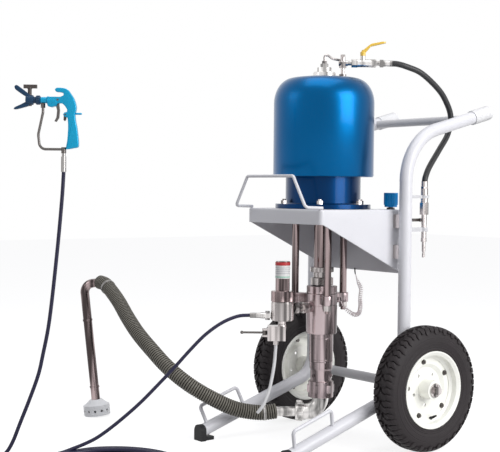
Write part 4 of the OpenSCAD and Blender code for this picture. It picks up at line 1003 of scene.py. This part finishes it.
def add_pump_head():
    """The forged head: a bored barrel, three arms for the tie rods and a boss towards the filter."""
    head = Shape()
    turned(head, [(0.0500, 0.3612, 0.3640), (0.0520, 0.3640, 0.4560), (0.0505, 0.4560, 0.4600),
                  (0.0520, 0.4600, 0.4948)], bore=0.0362)
    outline = [(0.042, -ARM_HALF), (0.078, -ARM_HALF)]
    outline += [(ARM_EYE_AT + ARM_EYE_R * cos(a), ARM_EYE_R * sin(a))
                for a in map(radians, range(-110, 111, 11))]
    outline += [(0.078, ARM_HALF), (0.042, ARM_HALF)]
    for degrees in (90, 210, 330):
        a = radians(degrees)
        out = Vector((cos(a), sin(a), 0))
        across = UP.cross(out)

        def arm_point(x, d, y, out=out, across=across):
            return PUMP_AXIS + UP * ARM_Z + out * x + across * y + UP * d

        cast_plate(outline, ARM_THICK, ARM_ROLL, arm_point, head, 3)
    turned(head, [(0.0170, 0.040, 0.0598)], PUMP_AXIS + UP * 0.452, (0, -1, 0), segments=40)
    piece = head.piece("forged_pump_head", PLATED, "cart", 40)
    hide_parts("pump_head")


def add_pump_cylinder():
    cylinder = Shape()
    turned(cylinder, [(0.0400, 0.2682, 0.2740), (0.0388, 0.2740, 0.2760), (0.0400, 0.2760, 0.3460),
                      (0.0390, 0.3460, 0.3480), (0.0400, 0.3480, 0.3608)], bore=PUMP_BORE)
    piece = cylinder.piece("turned_pump_cylinder", PLATED, "cart")
    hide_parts("pump_cylinder")


def add_foot_valve():
    """The foot valve's housing with its spanner hexagon and three plugs."""
    foot = Shape()
    turned(foot, [(0.0420, 0.1482, 0.1620), (0.0420, 0.1920, 0.2020), (0.0360, 0.2020, 0.2050),
                  (0.0350, 0.2050, 0.2385), (0.0370, 0.2420, 0.2435), (0.0380, 0.2450, 0.2678)], edge=0.0016)
    foot.add(*hexagon(0.0802, 0.030, PUMP_AXIS + UP * 0.162, UP, (1, 0, 0), 0.0022))
    plug = [(0, 0), (0.0048, 0), (0.0052, 0.0005), (0.0052, 0.0035), (0.0044, 0.0042), (0, 0.0042)]
    for k in range(3):
        a = radians(35 + 120 * k)
        out = Vector((cos(a), sin(a), 0))
        foot.add(*lathe(plug, PUMP_AXIS + out * 0.0340 + UP * 0.2210, out, 20))
    piece = foot.piece("foot_valve_housing", PLATED, "cart")
    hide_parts("foot_valve")


def add_rod_coupling():
    coupling = Shape(hexagon(0.066, 0.027, PUMP_AXIS + UP * 0.522, UP, (1, 0, 0), 0.002))
    turned(coupling, [(0.0285, 0.5480, 0.5665), (0.0390, 0.5665, 0.5828)], edge=0.002)
    piece = coupling.piece("coupling_collar", STEEL, "drive")
    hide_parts("rod_coupling")


def add_intake_union():
    """A hammer union: a collar with three lugs, and a bored tail for the suction hose."""
    union = Shape()
    start = PUMP_AXIS + UP * 0.097 + REACH * 0.0562
    turned(union, [(0.0292, 0.0, 0.004), (0.0300, 0.004, 0.024), (0.0285, 0.024, 0.028),
                   (0.0165, 0.028, 0.040), (0.0172, 0.040, 0.043), (0.0165, 0.043, 0.0928)],
           start, REACH, bore=0.0125, segments=56)
    across, other, axis = frame_of(REACH, UP)
    for k in range(3):
        a = radians(120 * k + 30)
        way = spoke(across, other, a)
        soft_box(union, start + way * 0.0325 + axis * 0.014, (0.013, 0.012, 0.021),
                 (way, axis.cross(way), axis), 0.0022)
    piece = union.piece("hammer_union", BRIGHT, "cart")
    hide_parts("intake_union")


def add_filter():
    """The filter's housing, and the bowl that is screwed on it by a ribbed collar."""
    at = FILTER_AXIS
    body = Shape()
    turned(body, [(0.0120, 0.4022, 0.4140), (0.0350, 0.4140, 0.4170), (0.0370, 0.4170, 0.4720),
                  (0.0358, 0.4720, 0.4758)], at)
    piece = body.piece("filter_housing", STEEL, "cart")
    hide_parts("filter_body")
    bowl = Shape()
    ribbed_disc(bowl, 0.0370, 0.4762, 0.5110, at, 60, 0.0010)
    turned(bowl, [(0.0225, 0.5100, 0.5140), (0.0235, 0.5140, 0.6000), (0.0240, 0.6010, 0.6055),
                  (0.0225, 0.6055, 0.6080)], at)
    piece = bowl.piece("filter_bowl_turned", CHROME, "cart")
    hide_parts("filter_bowl")


NECK_FOOT, NECK_FLANGE_TOP, NECK_TOP, NECK_LID = 0.7781, 0.7940, 0.9620, 0.9480
NECK_BORE, NECK_FLANGE_R, NECK_INNER_R, ROD_BORE = 0.0002, 0.1590, 0.1160, 0.0284


def add_neck():
    """The motor's cylinder with its foot flange; it runs up inside the can and leaves room for the piston."""
    profile = [(ROD_BORE, NECK_FOOT), (NECK_FLANGE_R, NECK_FOOT), (NECK_FLANGE_R, 0.7938), (0.1275, 0.7942),
               (NECK_R, 0.7975), (NECK_R, NECK_TOP), (NECK_BORE, NECK_TOP), (NECK_BORE, NECK_LID),
               (NECK_INNER_R, NECK_LID), (NECK_INNER_R, NECK_FLANGE_TOP), (ROD_BORE, NECK_FLANGE_TOP),
               (ROD_BORE, NECK_FOOT)]
    neck = Shape(closed_lathe(rounded(profile, 0.0018), PUMP_AXIS, UP, 128))
    piece = neck.piece("motor_neck", NECK, "cart")
    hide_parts("motor_cylinder")


for add_to_wheel in (add_tyre, add_rim_bolts):
    for wheel in ("left", "right"):
        add_to_wheel(wheel)
add_motor_shell()
add_bracket()
add_grips()
add_filter_label()
add_gun()
add_packing_nut()
add_pump_head()
add_pump_cylinder()
add_foot_valve()
add_rod_coupling()
add_intake_union()
add_filter()
add_neck()
dress_cad()
add_pressure_hose()
add_suction_hose()
add_air_hose()
add_drain_hose()
add_earth_lead()
